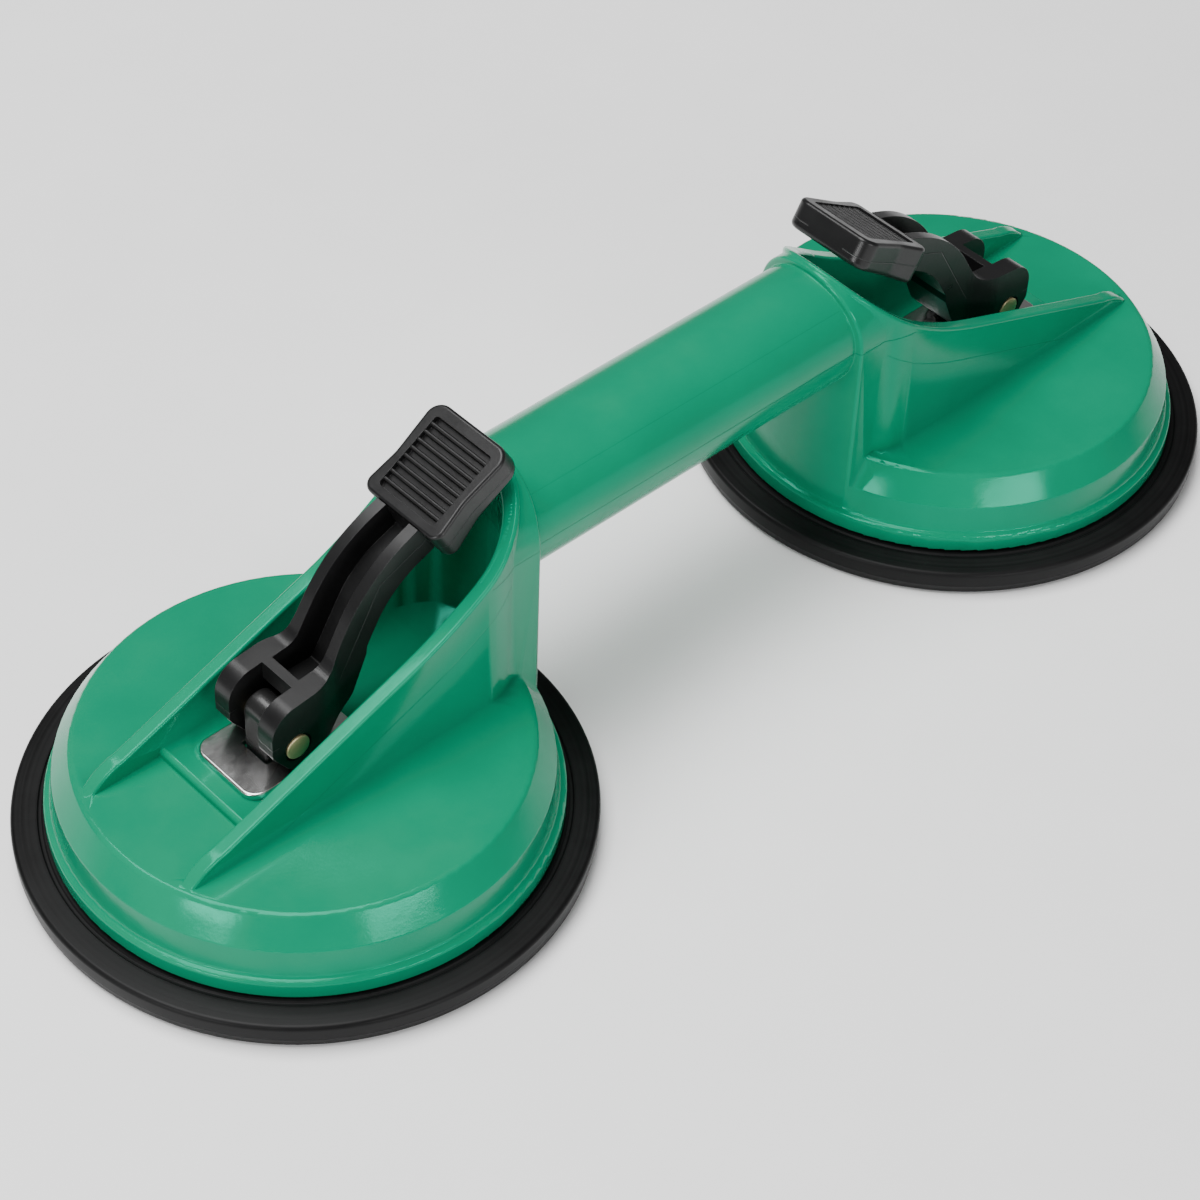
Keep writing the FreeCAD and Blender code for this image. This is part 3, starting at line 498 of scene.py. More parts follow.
@dataclass(frozen=True)
class MouldedPlastic:
    """Satin moulded plastic with a soft orange peel.

    Attributes:
        name: name of the material.
        shade: darker tint.
        tone: lighter tint.
        gloss: roughness of the shiniest and of the dullest spots.
        peel_scale: waves of the orange peel per metre.
        peel_depth: their depth.
        grain_scale: grains per metre.
        grain_depth: their depth.
        shine: strength of the reflections.
        shine_tint: tint of the reflections.
        seams: mould lines, if any show.
        seam_depth: height of the lines.
        seam_painted_light: colour mixed in along the lines as painted light,
            painted shade where it is darker than the plastic and a painted
            highlight where it is lighter.
        seam_share: strength of that painted light.
        cloud_scale: clouds of tint per metre.
        patch_scale: patches of gloss per metre.
        peel_share: share of the peel's full effect.
        grain_share: share of the grain's full effect.
    """

    name: str
    shade: Triple
    tone: Triple
    gloss: Pair
    peel_scale: float
    peel_depth: float
    grain_scale: float
    grain_depth: float
    shine: float = 0.5
    shine_tint: Triple = (1.0, 1.0, 1.0)
    seams: HousingSeams | LeverSeams | None = None
    seam_depth: float = 0.05 * MM
    # painted light on the mould lines: darker than the plastic for painted shade, lighter for a
    # painted highlight
    seam_painted_light: Triple = (0.0, 0.0, 0.0)
    seam_share: float = 0.5
    cloud_scale: float = 45.0
    patch_scale: float = 160.0
    peel_share: float = 0.6
    grain_share: float = 0.5

    def build(self) -> bpy.types.Material:
        """Make the material.

        Returns:
            The material.
        """
        sheet = NodeSheet(self.name)
        clouds = sheet.noise(scale=self.cloud_scale, detail=4.0)
        patches = sheet.noise(scale=self.patch_scale, detail=5.0, roughness=0.6)
        peel = sheet.noise(scale=self.peel_scale, detail=2.0, roughness=0.45)
        grain = sheet.noise(scale=self.grain_scale, detail=2.0)
        waves = sheet.bump(peel, depth=self.peel_depth, strength=self.peel_share)
        normal = sheet.bump(grain, self.grain_depth, self.grain_share, under=waves)
        colour = sheet.tint(sheet.ramp(clouds, 0.0, 1.0), self.shade, self.tone)
        if self.seams is not None:
            mask = self.seams.mask(sheet)
            normal = sheet.bump(sheet.minus(1.0, mask), depth=self.seam_depth, under=normal)
            # the colour mixed in along the mould lines is painted light: painted shade in the
            # grooves of the green housing, a painted highlight on the black lever
            colour = sheet.tint(sheet.times(mask, self.seam_share), colour, self.seam_painted_light)
        return sheet.finish(
            Base_Color=colour,
            Roughness=sheet.ramp(patches, *self.gloss),
            Normal=normal,
            Specular_IOR_Level=self.shine,
            Specular_Tint=self.shine_tint,
        )


@dataclass(frozen=True)
class SoftRubber:
    """Smooth black rubber with a faint bloom and fine turning rings.

    Attributes:
        name: name of the material.
        shade: tint of the clean rubber.
        bloom: tint of the bloom.
        gloss: roughness of the clean rubber and of the bloom.
        shine: strength of the reflections.
        haze_scale: clouds of bloom per metre.
        skin_scale: grains of the skin per metre.
        skin_depth: their depth.
        ring_scale: rings per metre.
        ring_depth: their depth.
        ring_wear: share of the bloom left in the rings and between them.
        bump_share: share of the full effect of rings and skin.
    """

    name: str
    shade: Triple
    bloom: Triple
    gloss: Pair
    shine: float = 0.12
    haze_scale: float = 38.0
    skin_scale: float = 2600.0
    skin_depth: float = 0.01 * MM
    ring_scale: float = 1500.0
    ring_depth: float = 0.02 * MM
    ring_wear: Pair = (0.7, 1.3)
    bump_share: float = 0.5

    def build(self) -> bpy.types.Material:
        """Make the material.

        Returns:
            The material.
        """
        sheet = NodeSheet(self.name)
        haze = sheet.noise(scale=self.haze_scale, detail=6.0, roughness=0.65)
        skin = sheet.noise(scale=self.skin_scale, detail=2.0)
        place = sheet.kept(TURNING)
        rings = sheet.noise(scale=self.ring_scale, detail=3.0, roughness=0.6, place=place)
        waves = sheet.bump(rings, depth=self.ring_depth, strength=self.bump_share)
        worn = sheet.times(haze, sheet.ramp(rings, *self.ring_wear))
        return sheet.finish(
            Base_Color=sheet.tint(sheet.ramp(worn, 0.0, 1.0), self.shade, self.bloom),
            Roughness=sheet.ramp(worn, *self.gloss),
            Normal=sheet.bump(skin, self.skin_depth, self.bump_share, under=waves),
            Specular_IOR_Level=self.shine,
        )


@dataclass(frozen=True)
class BrushedMetal:
    """Metal with fine parallel or random scratches.

    Attributes:
        name: name of the material.
        shade: darker tint.
        tone: lighter tint.
        gloss: roughness of the shiniest and of the dullest scratches.
        stretch: scratches per metre along X, Y and Z.
        scratch_depth: their depth.
        bare: share of bare metal, the rest being lacquer.
        stain_scale: stains per metre.
        scratch_share: share of the scratches' full effect.
    """

    name: str
    shade: Triple
    tone: Triple
    gloss: Pair
    stretch: Triple
    scratch_depth: float
    bare: float = 1.0
    stain_scale: float = 210.0
    scratch_share: float = 0.6

    def build(self) -> bpy.types.Material:
        """Make the material.

        Returns:
            The material.
        """
        sheet = NodeSheet(self.name)
        stain = sheet.noise(scale=self.stain_scale, detail=5.0, roughness=0.6)
        lines = sheet.noise(scale=1.0, detail=3.0, place=sheet.stretched(self.stretch))
        return sheet.finish(
            Base_Color=sheet.tint(sheet.ramp(stain, 0.0, 1.0), self.shade, self.tone),
            Metallic=self.bare,
            Roughness=sheet.ramp(lines, *self.gloss),
            Normal=sheet.bump(lines, depth=self.scratch_depth, strength=self.scratch_share),
        )


HOUSING_GREEN = MouldedPlastic(
    name="housing_green",
    shade=(0.0, 0.186, 0.092),
    tone=(0.0, 0.212, 0.105),
    gloss=(0.13, 0.19),
    peel_scale=480.0,
    peel_depth=0.022 * MM,
    grain_scale=1500.0,
    grain_depth=0.026 * MM,
    shine=0.34,
    shine_tint=(0.10, 0.96, 0.68),
    seams=HousingSeams(),
    # painted shade: darker green on the mould lines stands in for the shade in their grooves
    seam_painted_light=(0.0, 0.10, 0.05),
)
LEVER_BLACK = MouldedPlastic(
    name="lever_black",
    shade=(0.0062, 0.0062, 0.0064),
    tone=(0.0092, 0.0092, 0.0095),
    gloss=(0.27, 0.38),
    peel_scale=1500.0,
    peel_depth=0.02 * MM,
    grain_scale=5200.0,
    grain_depth=0.01 * MM,
    shine=0.3,
    seams=LeverSeams(),
    # painted highlight: grey on the mould lines stands in for light caught along their edges
    seam_painted_light=(0.03, 0.03, 0.03),
)
CUP_RUBBER = SoftRubber(
    name="cup_rubber",
    shade=(0.0034, 0.0034, 0.0035),
    bloom=(0.0072, 0.0072, 0.0074),
    gloss=(0.34, 0.5),
)
PLATE_STEEL = BrushedMetal(
    name="plate_steel",
    shade=(0.60, 0.595, 0.59),
    tone=(0.68, 0.675, 0.67),
    gloss=(0.16, 0.24),
    stretch=(420.0, 5200.0, 5200.0),
    scratch_depth=0.003 * MM,
)
ZINC_STEEL = BrushedMetal(
    name="zinc_steel",
    shade=(0.46, 0.47, 0.48),
    tone=(0.58, 0.585, 0.59),
    gloss=(0.28, 0.45),
    stretch=(1500.0, 1500.0, 1500.0),
    scratch_depth=0.008 * MM,
)
PIN_BRASS = BrushedMetal(
    name="pin_brass",
    shade=(0.50, 0.42, 0.22),
    tone=(0.62, 0.53, 0.31),
    gloss=(0.3, 0.42),
    stretch=(2600.0, 2600.0, 2600.0),
    scratch_depth=0.005 * MM,
    bare=0.55,
)
EYE_BLACK = MouldedPlastic(
    name="eye_black",
    shade=(0.008, 0.008, 0.008),
    tone=(0.015, 0.015, 0.015),
    gloss=(0.24, 0.36),
    peel_scale=1900.0,
    peel_depth=0.02 * MM,
    grain_scale=5200.0,
    grain_depth=0.008 * MM,
)
STUDIO_WHITE = MouldedPlastic(
    name="studio_white",
    shade=(0.90, 0.90, 0.90),
    tone=(0.92, 0.92, 0.92),
    gloss=(0.75, 0.85),
    peel_scale=40.0,
    peel_depth=0.02 * MM,
    grain_scale=900.0,
    grain_depth=0.01 * MM,
    shine=0.2,
)


# --------------------------------------------------------------- mesh helpers
def mesh_data(name: str, shape: bmesh.types.BMesh) -> bpy.types.Mesh:
    """Turn a bmesh into mesh data.

    Args:
        name: name of the data.
        shape: the bmesh, which is freed.

    Returns:
        The new data.
    """
    data = bpy.data.meshes.new(name)
    shape.to_mesh(data)
    shape.free()
    return data


def placed(name: str, data: bpy.types.ID) -> bpy.types.Object:
    """Put an object into the scene.

    Args:
        name: name of the object.
        data: its mesh, light or camera.

    Returns:
        The new object.
    """
    thing = bpy.data.objects.new(name, data)
    bpy.context.scene.collection.objects.link(thing)
    return thing


def as_piece(
    name: str, shape: bmesh.types.BMesh, body: str, finish: bpy.types.Material
) -> bpy.types.Object:
    """Turn a finished bmesh into a piece that rides on a body.

    Args:
        name: name of the piece.
        shape: its shape in the row frame, which is freed.
        body: body that carries it.
        finish: its material.

    Returns:
        The new object.
    """
    data = mesh_data(name, shape)
    data.materials.append(finish)
    piece = placed(name, data)
    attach(piece, body)
    LOG.info("%s: %d faces on %s", name, len(data.polygons), body)
    return piece


def smooth(piece: bpy.types.Object, degrees: float) -> None:
    """Shade a piece smoothly up to an angle between its faces.

    Args:
        piece: mesh object.
        degrees: larger angles stay sharp.
    """
    piece.data.shade_smooth()
    piece.data.set_sharp_from_angle(angle=math.radians(degrees))


def soften(piece: bpy.types.Object, width: float, segments: int, degrees: float) -> None:
    """Round the sharp edges of a piece.

    Args:
        piece: mesh object.
        width: width of the round.
        segments: faces across the round.
        degrees: smaller angles are left alone.
    """
    bevel = piece.modifiers.new("rounded_edges", "BEVEL")
    bevel.width = width
    bevel.segments = segments
    bevel.limit_method = "ANGLE"
    bevel.angle_limit = math.radians(degrees)
    bevel.harden_normals = True
    bevel.miter_outer = "MITER_ARC"
    even_out(piece)


def even_out(piece: bpy.types.Object) -> None:
    """Let the large faces of a piece set its shading.

    Args:
        piece: mesh object.
    """
    evened = piece.modifiers.new("evened_normals", "WEIGHTED_NORMAL")
    evened.keep_sharp = True
    evened.weight = LARGE_FACE_WEIGHT


def solid_copy(node: str, whole_flats: bool) -> bmesh.types.BMesh:
    """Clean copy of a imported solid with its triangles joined.

    Args:
        node: name of the solid.
        whole_flats: whether each flat face becomes one polygon.

    Returns:
        A bmesh in the row frame.
    """
    mesh = bmesh.new()
    mesh.from_mesh(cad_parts[node].data)
    bmesh.ops.remove_doubles(mesh, verts=mesh.verts, dist=SOLID_WELD)
    if whole_flats:
        bmesh.ops.dissolve_limit(
            mesh,
            angle_limit=math.radians(FLAT_ANGLE),
            verts=mesh.verts,
            edges=mesh.edges,
            delimit={"NORMAL"},
        )
    return mesh


def cut_away(piece: bpy.types.Object, cutter: bmesh.types.BMesh) -> None:
    """Remove the space of a closed mesh from a piece.

    Args:
        piece: mesh object without modifiers.
        cutter: the space, in the piece's own frame, which is freed.
    """
    tool = placed("cutter", mesh_data("cutter", cutter))
    cut = piece.modifiers.new("cut", "BOOLEAN")
    cut.operation = "DIFFERENCE"
    cut.solver = "EXACT"
    cut.object = tool
    ready = piece.evaluated_get(bpy.context.evaluated_depsgraph_get())
    shape = bpy.data.meshes.new_from_object(ready)
    piece.modifiers.remove(cut)
    shape.name = piece.data.name
    piece.data = shape
    bpy.data.objects.remove(tool)


def turned(
    profile: Sequence[Pair], axis: Axis, centre: Vector, segments: int
) -> bmesh.types.BMesh:
    """Solid of revolution.

    Args:
        profile: points (radius, height along the axis), either closed or with
            both ends on the axis.
        axis: direction of the axis.
        centre: point where radius and height are zero.
        segments: faces round the axis.

    Returns:
        A closed bmesh with its faces outwards.
    """
    mesh = bmesh.new()
    along = axis.value
    outward = Axis.Z.value if axis is not Axis.Z else Axis.X.value
    points = [
        mesh.verts.new(centre + outward * radius + along * height) for radius, height in profile
    ]
    edges = [mesh.edges.new(pair) for pair in zip(points, points[1:])]
    bmesh.ops.spin(
        mesh,
        geom=points + edges,
        cent=centre,
        axis=along,
        angle=math.tau,
        steps=segments,
        use_merge=True,
    )
    bmesh.ops.remove_doubles(mesh, verts=mesh.verts, dist=TURNED_WELD)
    bmesh.ops.recalc_face_normals(mesh, faces=mesh.faces)
    kept = mesh.verts.layers.float_vector.new(TURNING)
    for vertex in mesh.verts:
        offset = vertex.co - centre
        height = offset.dot(along)
        vertex[kept] = Vector(((offset - along * height).length, height, 0.0))
    return mesh


def rounded_profile(corners: Sequence[Triple], steps: int = 6) -> list[Pair]:
    """Profile with its corners rounded.

    Args:
        corners: points (radius, height, round).
        steps: points along each round.

    Returns:
        Points (radius, height) for a turned piece.
    """
    points: list[Pair] = []
    last = len(corners) - 1
    for index, (radius, height, round_) in enumerate(corners):
        here = Vector((radius, height))
        if round_ <= 0.0 or index in (0, last):
            points.append((radius, height))
            continue
        before = (Vector(corners[index - 1][:2]) - here).normalized()
        after = (Vector(corners[index + 1][:2]) - here).normalized()
        half = before.angle(after) / 2.0
        reach = round_ / math.tan(half)
        middle = here + (before + after).normalized() * (round_ / math.sin(half))
        start = here + before * reach - middle
        turn = start.angle_signed(here + after * reach - middle)
        for step in range(steps + 1):
            arm = start.copy()
            arm.rotate(Matrix.Rotation(-turn * step / steps, 2))
            points.append(tuple(middle + arm))
    return points


# --------------------------------------------------------------- the assembly
@dataclass
class RubberCup:
    """Rubber cup in two pieces: the rim stays put, the middle is pulled up.

    Attributes:
        side: left or right.
        finish: rubber.
        rim_radius: radius of the rim at the floor.
        rim_flare: how much wider its upper edge is.
        rim_height: height of that edge.
        ring_width: width of the sealing ring.
        hollow: height of the underside inside the ring.
        seam_radius: where the two pieces meet.
        seam_lap: how far the middle runs under the rim piece.
        top: height of the upper face.
        lip_radius: radius of the green disc's lip.
        disc_radius: radius of the anchor disc's seat.
        boss_radius: radius of the boss round it.
        boss_top: height of the boss.
        disc_seat: height of the seat's floor.
        register: inner and outer radius of the register ring, and its top.
        foot: width of the chamfer at the floor, and its height and round.
        step: two corners of the fine step on the rim's side.
        small: round of the finer corners.
        skin: how far the middle's faces stay inside those of the rim piece.
        segments: faces round the rim.
        core_segments: faces round the middle.
        smooth_angle: larger angles stay sharp.
    """

    side: str
    finish: bpy.types.Material
    rim_radius: float = 59.0 * MM
    rim_flare: float = 0.5 * MM
    rim_height: float = 6.4 * MM
    ring_width: float = 10.0 * MM
    hollow: float = 2.6 * MM
    seam_radius: float = 30.0 * MM
    seam_lap: float = 0.6 * MM
    top: float = 6.5 * MM
    lip_radius: float = 52.5 * MM
    disc_radius: float = 20.3 * MM
    boss_radius: float = 23.3 * MM
    boss_top: float = 9.4 * MM
    disc_seat: float = 7.4 * MM
    register: Triple = (44.9 * MM, 47.5 * MM, 9.5 * MM)
    foot: Triple = (1.6 * MM, 0.7 * MM, 1.0 * MM)
    step: tuple[Pair, Pair] = ((0.2 * MM, 2.6 * MM), (0.35 * MM, 2.75 * MM))
    small: float = 0.3 * MM
    skin: float = 0.05 * MM
    segments: int = 192
    core_segments: int = 96
    smooth_angle: float = 40.0

    def centre(self) -> Vector:
        """Point on the floor under the middle of the cup.

        Returns:
            The point.
        """
        low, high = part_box("rubber_cup_" + self.side)
        return Vector(((low.x + high.x) / 2.0, 0.0, 0.0))

    def rim_profile(self) -> list[Pair]:
        """Closed section of the rim, from its inner face and round it.

        Returns:
            Points (radius, height).
        """
        inner, outer, high = self.register
        sealing = self.rim_radius - self.ring_width
        edge = self.rim_radius + self.rim_flare
        halfway = (self.hollow + self.top) / 2.0
        foot_width, foot_height, foot_round = self.foot
        corners = [
            (self.seam_radius, halfway, 0.0),
            (self.seam_radius, self.hollow, self.small),
            (sealing, 0.0, 3.0 * MM),
            *((sealing + out * MM, deep * MM, round_ * MM) for out, deep, round_ in SOLE_GROOVE),
            (self.rim_radius - foot_width, 0.0, 0.0),
            (self.rim_radius, foot_height, foot_round),
            *((self.rim_radius + out, up, 0.0) for out, up in self.step),
            (edge, self.rim_height, 1.0 * MM),
            *(
                (self.lip_radius + out * MM, self.top - deep * MM, round_ * MM)
                for out, deep, round_ in LIP_GROOVE
            ),
            (outer, self.top, self.small),
            (outer, high, 0.5 * MM),
            (inner, high, 0.5 * MM),
            (inner, self.top, 0.8 * MM),
            (self.seam_radius, self.top, self.small),
            (self.seam_radius, halfway, 0.0),
        ]
        return rounded_profile(corners)

    def middle_profile(self) -> list[Pair]:
        """Closed section of the middle, from the axis round to the axis.

        Returns:
            Points (radius, height).
        """
        edge = self.seam_radius + self.seam_lap
        upper = self.top - self.skin
        corners = [
            (0.0, self.hollow, 0.0),
            (edge, self.hollow + self.skin, 0.5 * MM),
            (edge, upper, 0.5 * MM),
            (self.boss_radius, upper, 0.8 * MM),
            (self.boss_radius, self.boss_top, 0.7 * MM),
            (self.disc_radius, self.boss_top, self.small),
            (self.disc_radius, self.disc_seat, 0.0),
            (0.0, self.disc_seat, 0.0),
        ]
        return rounded_profile(corners)

    def build(self) -> None:
        """Make both pieces."""
        centre = self.centre()
        ring = turned(self.rim_profile(), Axis.Z, centre, self.segments)
        rim = as_piece("rubber_rim_" + self.side, ring, "frame", self.finish)
        smooth(rim, self.smooth_angle)
        plug = turned(self.middle_profile(), Axis.Z, centre, self.core_segments)
        body = "pull_" + self.side
        middle = as_piece("rubber_middle_" + self.side, plug, body, self.finish)
        smooth(middle, self.smooth_angle)
        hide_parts("rubber_cup_" + self.side)


@dataclass
class RivetPin:
    """Lever pin with a domed head at each end.

    Attributes:
        side: left or right.
        finish: brass.
        radius: radius of the shank.
        head_radius: radius of the heads.
        head_depth: how deep the heads sit, from the pin's end.
        dome: height of a head's dome.
        dome_knee: where the dome bends, in shares of the head's radius and
            of the dome's height.
        rim_round: round of a head's edge.
        segments: faces round the pin.
        smooth_angle: larger angles stay sharp.
    """

    side: str
    finish: bpy.types.Material
    radius: float = 2.0 * MM
    head_radius: float = 2.75 * MM
    head_depth: float = 1.1 * MM
    dome: float = 0.4 * MM
    dome_knee: Pair = (0.55, 0.18)
    rim_round: float = 0.3 * MM
    segments: int = 64
    smooth_angle: float = 30.0

    def build(self) -> None:
        """Make the pin in place of its plain solid."""
        low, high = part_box("pivot_pin_" + self.side)
        middle = (low + high) / 2.0
        half = (high.y - low.y) / 2.0
        seat = half - self.head_depth
        shoulder = half - self.dome
        knee = half - self.dome * self.dome_knee[1]
        knee_radius = self.head_radius * self.dome_knee[0]
        corners = [
            (0.0, -half, 0.0),
            (knee_radius, -knee, 0.0),
            (self.head_radius, -shoulder, self.rim_round),
            (self.head_radius, -seat, 0.0),
            (self.radius, -seat, 0.0),
            (self.radius, seat, 0.0),
            (self.head_radius, seat, 0.0),
            (self.head_radius, shoulder, self.rim_round),
            (knee_radius, knee, 0.0),
            (0.0, half, 0.0),
        ]
        shape = turned(rounded_profile(corners), Axis.Y, middle, self.segments)
        body = "lever_" + self.side
        pin = as_piece("rivet_pin_" + self.side, shape, body, self.finish)
        smooth(pin, self.smooth_angle)
        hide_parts("pivot_pin_" + self.side)


@dataclass
class DressedSolid:
    """Piece that keeps the shape of its solid and gets rounded edges.

    Attributes:
        node: name of the solid.
        name: name of the piece.
        body: body that carries it.
        slot: material slot of the record; not used.
        finish: its material.
        round_width: width of the rounds, or nought for none.
        round_steps: faces across a round.
        smooth_angle: larger angles are rounded, or stay sharp.
    """

    node: str
    name: str
    body: str
    slot: str
    finish: bpy.types.Material
    round_width: float = 0.0
    round_steps: int = 3
    smooth_angle: float = 32.0

    def build(self) -> None:
        """Make the piece in place of its solid."""
        rounded = self.round_width > 0.0
        shape = solid_copy(self.node, whole_flats=rounded)
        piece = as_piece(self.name, shape, self.body, self.finish)
        smooth(piece, self.smooth_angle)
        if rounded:
            soften(piece, self.round_width, self.round_steps, self.smooth_angle)
        else:
            even_out(piece)
        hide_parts(self.node)


@dataclass
class Housing:
    """Green moulding: both bells, their walls, the collars and the handle.

    The closed end of each wall gets a clean top edge with a round inside.

    Attributes:
        finish: green plastic.
        cup: distance of a cup's axis from the middle.
        end_centre: centre of a wall's closed end, from the cup's axis.
        inner: inner radius of the wall there.
        cut_width: how far the cut reaches out from the inner face.
        cut_inside: how far it reaches in.
        cut_above: how far it reaches up.
        cut_below: how far its inner part reaches down.
        inner_round: round of the wall's inner edge.
        spare: gap between the cut and the faces it runs along.
        arc_centre: centre of the top edge's arc.
        arc_radius: radius of the arc.
        half_turn: degrees from the middle of the closed end to its sides.
        cut_steps: faces round the closed end.
        smooth_angle: larger angles stay sharp.
    """

    finish: bpy.types.Material
    cup: float = CUP
    end_centre: float = WALL_END
    inner: float = 14.2 * MM
    cut_width: float = 2.8 * MM
    cut_inside: float = 1.0 * MM
    cut_above: float = 9.0 * MM
    cut_below: float = 2.0 * MM
    inner_round: float = 0.7 * MM
    spare: float = 0.02 * MM
    arc_centre: Pair = WALL_ARC
    arc_radius: float = WALL_RADIUS
    half_turn: float = 92.0
    cut_steps: int = 92
    smooth_angle: float = 28.0

    def top_of_wall(self, along: float) -> float:
        """Height of the wall's curved top edge.

        Args:
            along: distance from the cup's axis.

        Returns:
            The height.
        """
        middle, height = self.arc_centre
        return height - math.sqrt(self.arc_radius**2 - (along - middle) ** 2)

    def space_above_end(self, side: int) -> bmesh.types.BMesh:
        """Space over the closed end of a wall, with the round of its inner edge.

        Args:
            side: -1 for the cup at -X and 1 for the other.

        Returns:
            A closed bmesh.
        """
        corners = [
            (-self.cut_inside, -self.cut_below, 0.0),
            (-self.spare, -self.cut_below, 0.0),
            (-self.spare, self.spare, self.inner_round),
            (self.cut_width, self.spare, 0.0),
            (self.cut_width, self.cut_above, 0.0),
            (-self.cut_inside, self.cut_above, 0.0),
        ]
        mesh = bmesh.new()
        centre = Vector((self.end_centre, 0.0, 0.0))
        start = Matrix.Rotation(math.radians(-self.half_turn), 3, "Z") @ Axis.X.value
        points = [
            mesh.verts.new(centre + start * (self.inner + out) + Axis.Z.value * up)
            for out, up in rounded_profile(corners)
        ]
        edges = [mesh.edges.new(pair) for pair in zip(points, points[1:] + points[:1])]
        bmesh.ops.spin(
            mesh,
            geom=points + edges,
            cent=centre,
            axis=Axis.Z.value,
            angle=math.radians(2.0 * self.half_turn),
            steps=self.cut_steps,
        )
        for vertex in mesh.verts:
            vertex.co.z += self.top_of_wall(vertex.co.x)
            vertex.co.x = side * (self.cup - vertex.co.x)
        bmesh.ops.holes_fill(mesh, edges=[edge for edge in mesh.edges if edge.is_boundary])
        bmesh.ops.recalc_face_normals(mesh, faces=mesh.faces)
        return mesh

    def build(self) -> None:
        """Make the moulding in place of its solid."""
        shape = solid_copy("frame_body", whole_flats=False)
        piece = as_piece("green_moulding", shape, "frame", self.finish)
        for side in (-1, 1):
            cut_away(piece, self.space_above_end(side))
        smooth(piece, self.smooth_angle)
        even_out(piece)
        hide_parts("frame_body")


@dataclass
class HiddenHardware:
    """Anchor disc, stud, nut, spring and its seat inside a cup.

    Attributes:
        side: left or right.
        finish: zinc-plated steel.
        nodes: names of the solids, without their side.
    """

    side: str
    finish: bpy.types.Material
    nodes: tuple[str, ...] = (
        "anchor_disc",
        "anchor_stud",
        "lock_nut",
        "spring_seat",
        "return_spring",
    )

    def dress(self) -> None:
        """Give each solid its finish."""
        for node in self.nodes:
            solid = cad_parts[node + "_" + self.side]
            solid.data.materials.clear()
            solid.data.materials.append(self.finish)
            LOG.info("%s_%s: dressed", node, self.side)


# --------------------------------------------------------------------- studio
@dataclass(frozen=True)
class SoftLight:
    """Rectangular soft light aimed at a point from a direction.

    Attributes:
        name: name of the light.
        azimuth: direction it comes from, in degrees from +X.
        elevation: its height over the horizon in degrees.
        distance: distance from the point.
        width: width of the light.
        height: height of the light.
        power: watts.
        aim: the point.
    """

    name: str
    azimuth: float
    elevation: float
    distance: float
    width: float
    height: float
    power: float
    aim: Triple = (0.0, 0.0, 0.03)

    def build(self) -> None:
        """Add the light."""
        data = bpy.data.lights.new(self.name, "AREA")
        data.shape = "RECTANGLE"
        data.size = self.width
        data.size_y = self.height
        data.energy = self.power
        azimuth = math.radians(self.azimuth)
        elevation = math.radians(self.elevation)
        away = Vector(
            (
                math.cos(azimuth) * math.cos(elevation),
                math.sin(azimuth) * math.cos(elevation),
                math.sin(elevation),
            )
        )
        lamp = placed(self.name, data)
        lamp.location = Vector(self.aim) + away * self.distance
        lamp.rotation_euler = away.to_track_quat("Z", "Y").to_euler()


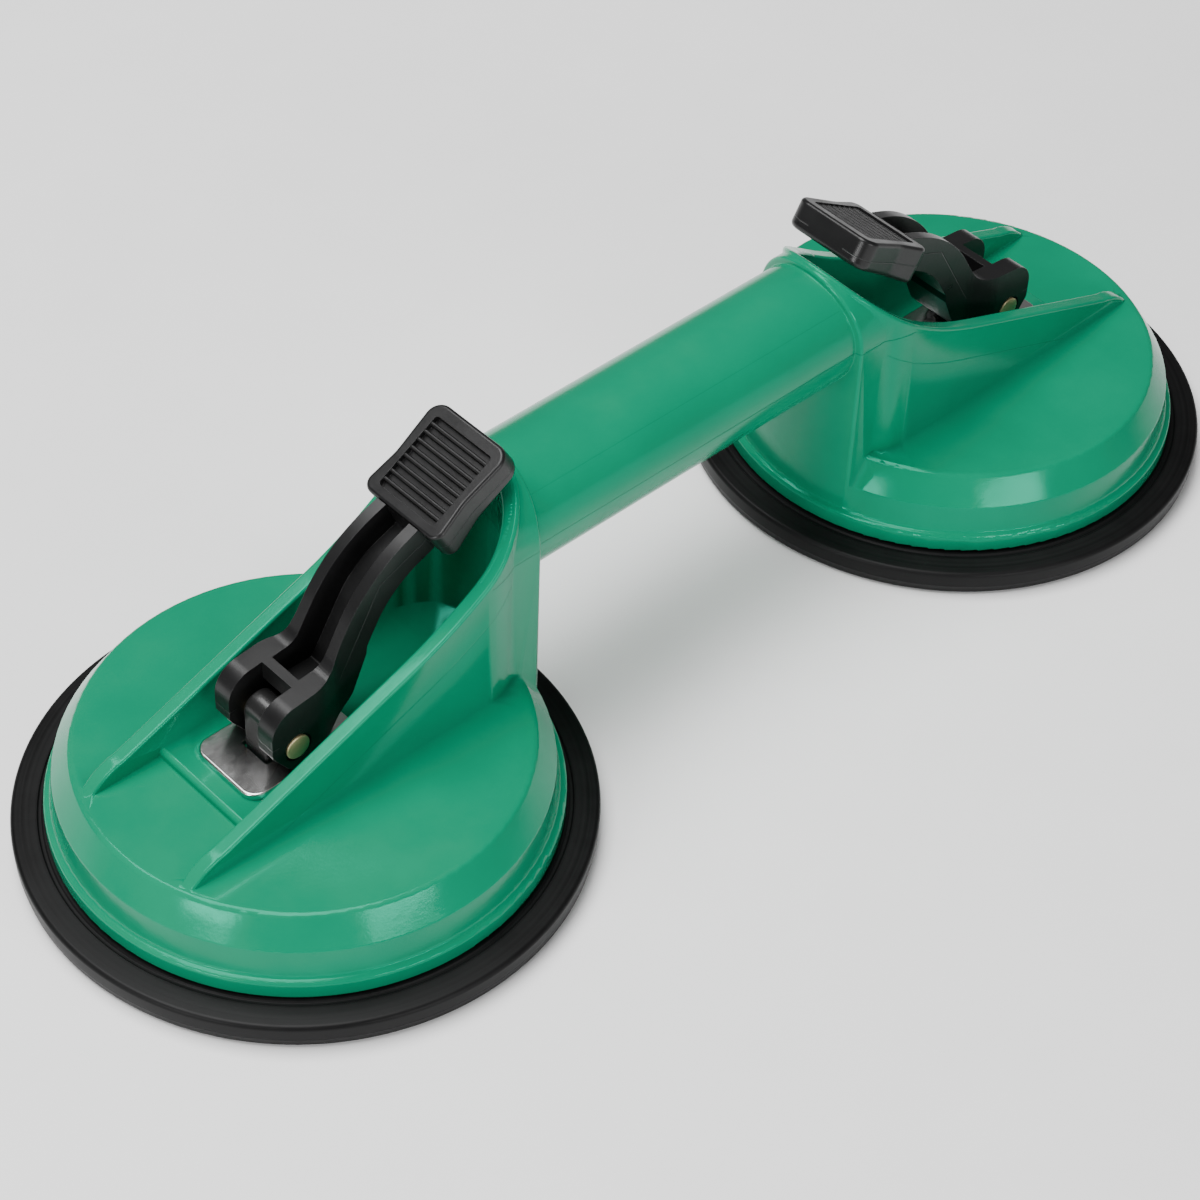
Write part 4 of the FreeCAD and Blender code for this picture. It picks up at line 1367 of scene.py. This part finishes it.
@dataclass
class Studio:
    """Pale floor, soft lights, pale surroundings and the camera.

    Attributes:
        floor_finish: material of the floor.
        floor_size: length of the floor's side.
        surround: strength of the even light from all sides.
        azimuth: turn of the camera round Z in degrees, nought looking along +Y.
        elevation: its height over the horizon in degrees.
        roll: its turn about the line of sight in degrees.
        camera_place: where it stands.
        focal_length: focal length in widths of the image.
        sensor: width of the sensor in millimetres.
        near_clip: nearest distance it sees.
        lights: the soft lights.
    """

    floor_finish: bpy.types.Material
    floor_size: float = 4.0
    surround: float = 0.16
    azimuth: float = -44.442
    elevation: float = 44.65
    roll: float = 2.537
    camera_place: Triple = (-0.35216, -0.34527, 0.48733)
    focal_length: float = 2.645
    sensor: float = 36.0
    near_clip: float = 0.01
    lights: list[SoftLight] = field(
        default_factory=lambda: [
            SoftLight("overhead", 135.0, 74.0, 1.1, 1.0, 0.7, 24.0),
            SoftLight("left_window", -170.0, 18.0, 1.0, 0.31, 0.22, 3.9),
            SoftLight("front_window", -97.0, 18.0, 1.0, 0.50, 0.20, 4.4),
        ]
    )

    def build(self) -> None:
        """Build everything round the object."""
        self.lay_floor()
        self.set_surround()
        for light in self.lights:
            light.build()
        self.place_camera()

    def lay_floor(self) -> None:
        """Add the floor."""
        shape = bmesh.new()
        bmesh.ops.create_grid(shape, x_segments=1, y_segments=1, size=self.floor_size / 2.0)
        data = mesh_data("floor", shape)
        data.materials.append(self.floor_finish)
        placed("floor", data)

    def set_surround(self) -> None:
        """Light the scene evenly from all sides."""
        world = bpy.data.worlds.new("pale_surround")
        world.use_nodes = True
        background = world.node_tree.nodes["Background"]
        background.inputs["Color"].default_value = (1.0, 1.0, 1.0, 1.0)
        background.inputs["Strength"].default_value = self.surround
        bpy.context.scene.world = world

    def place_camera(self) -> None:
        """Add the camera at the viewing angle."""
        azimuth = math.radians(self.azimuth)
        elevation = math.radians(self.elevation)
        roll = math.radians(self.roll)
        back = Vector(
            (
                math.sin(azimuth) * math.cos(elevation),
                -math.cos(azimuth) * math.cos(elevation),
                math.sin(elevation),
            )
        )
        level = Axis.Z.value.cross(back).normalized()
        upright = back.cross(level)
        right = level * math.cos(roll) + upright * math.sin(roll)
        up = upright * math.cos(roll) - level * math.sin(roll)
        data = bpy.data.cameras.new("camera")
        data.sensor_width = self.sensor
        data.lens = self.focal_length * self.sensor
        data.clip_start = self.near_clip
        camera = placed("camera", data)
        turn = Matrix((right, up, back)).transposed().to_4x4()
        camera.matrix_world = Matrix.Translation(Vector(self.camera_place)) @ turn
        bpy.context.scene.camera = camera


def main() -> None:
    """Build the dressed object and its studio."""
    green = HOUSING_GREEN.build()
    black = LEVER_BLACK.build()
    rubber = CUP_RUBBER.build()
    steel = PLATE_STEEL.build()
    zinc = ZINC_STEEL.build()
    brass = PIN_BRASS.build()
    eye = EYE_BLACK.build()
    Housing(green).build()
    for side in SIDES:
        RubberCup(side, rubber).build()
        DressedSolid(
            node="cam_lever_" + side,
            name="black_lever_" + side,
            body="lever_" + side,
            slot="lever_plastic",
            finish=black,
            round_width=LEVER_ROUND,
        ).build()
        DressedSolid(
            node="pull_eye_" + side,
            name="rod_end_" + side,
            body="pull_" + side,
            slot="eye_metal",
            finish=eye,
        ).build()
        DressedSolid(
            node="wear_plate_" + side,
            name="steel_plate_" + side,
            body="frame",
            slot="plate_steel",
            finish=steel,
            round_width=PLATE_ROUND,
        ).build()
        RivetPin(side, brass).build()
        HiddenHardware(side, zinc).dress()
    Studio(STUDIO_WHITE.build()).build()


if __name__ == "__main__":
    main()
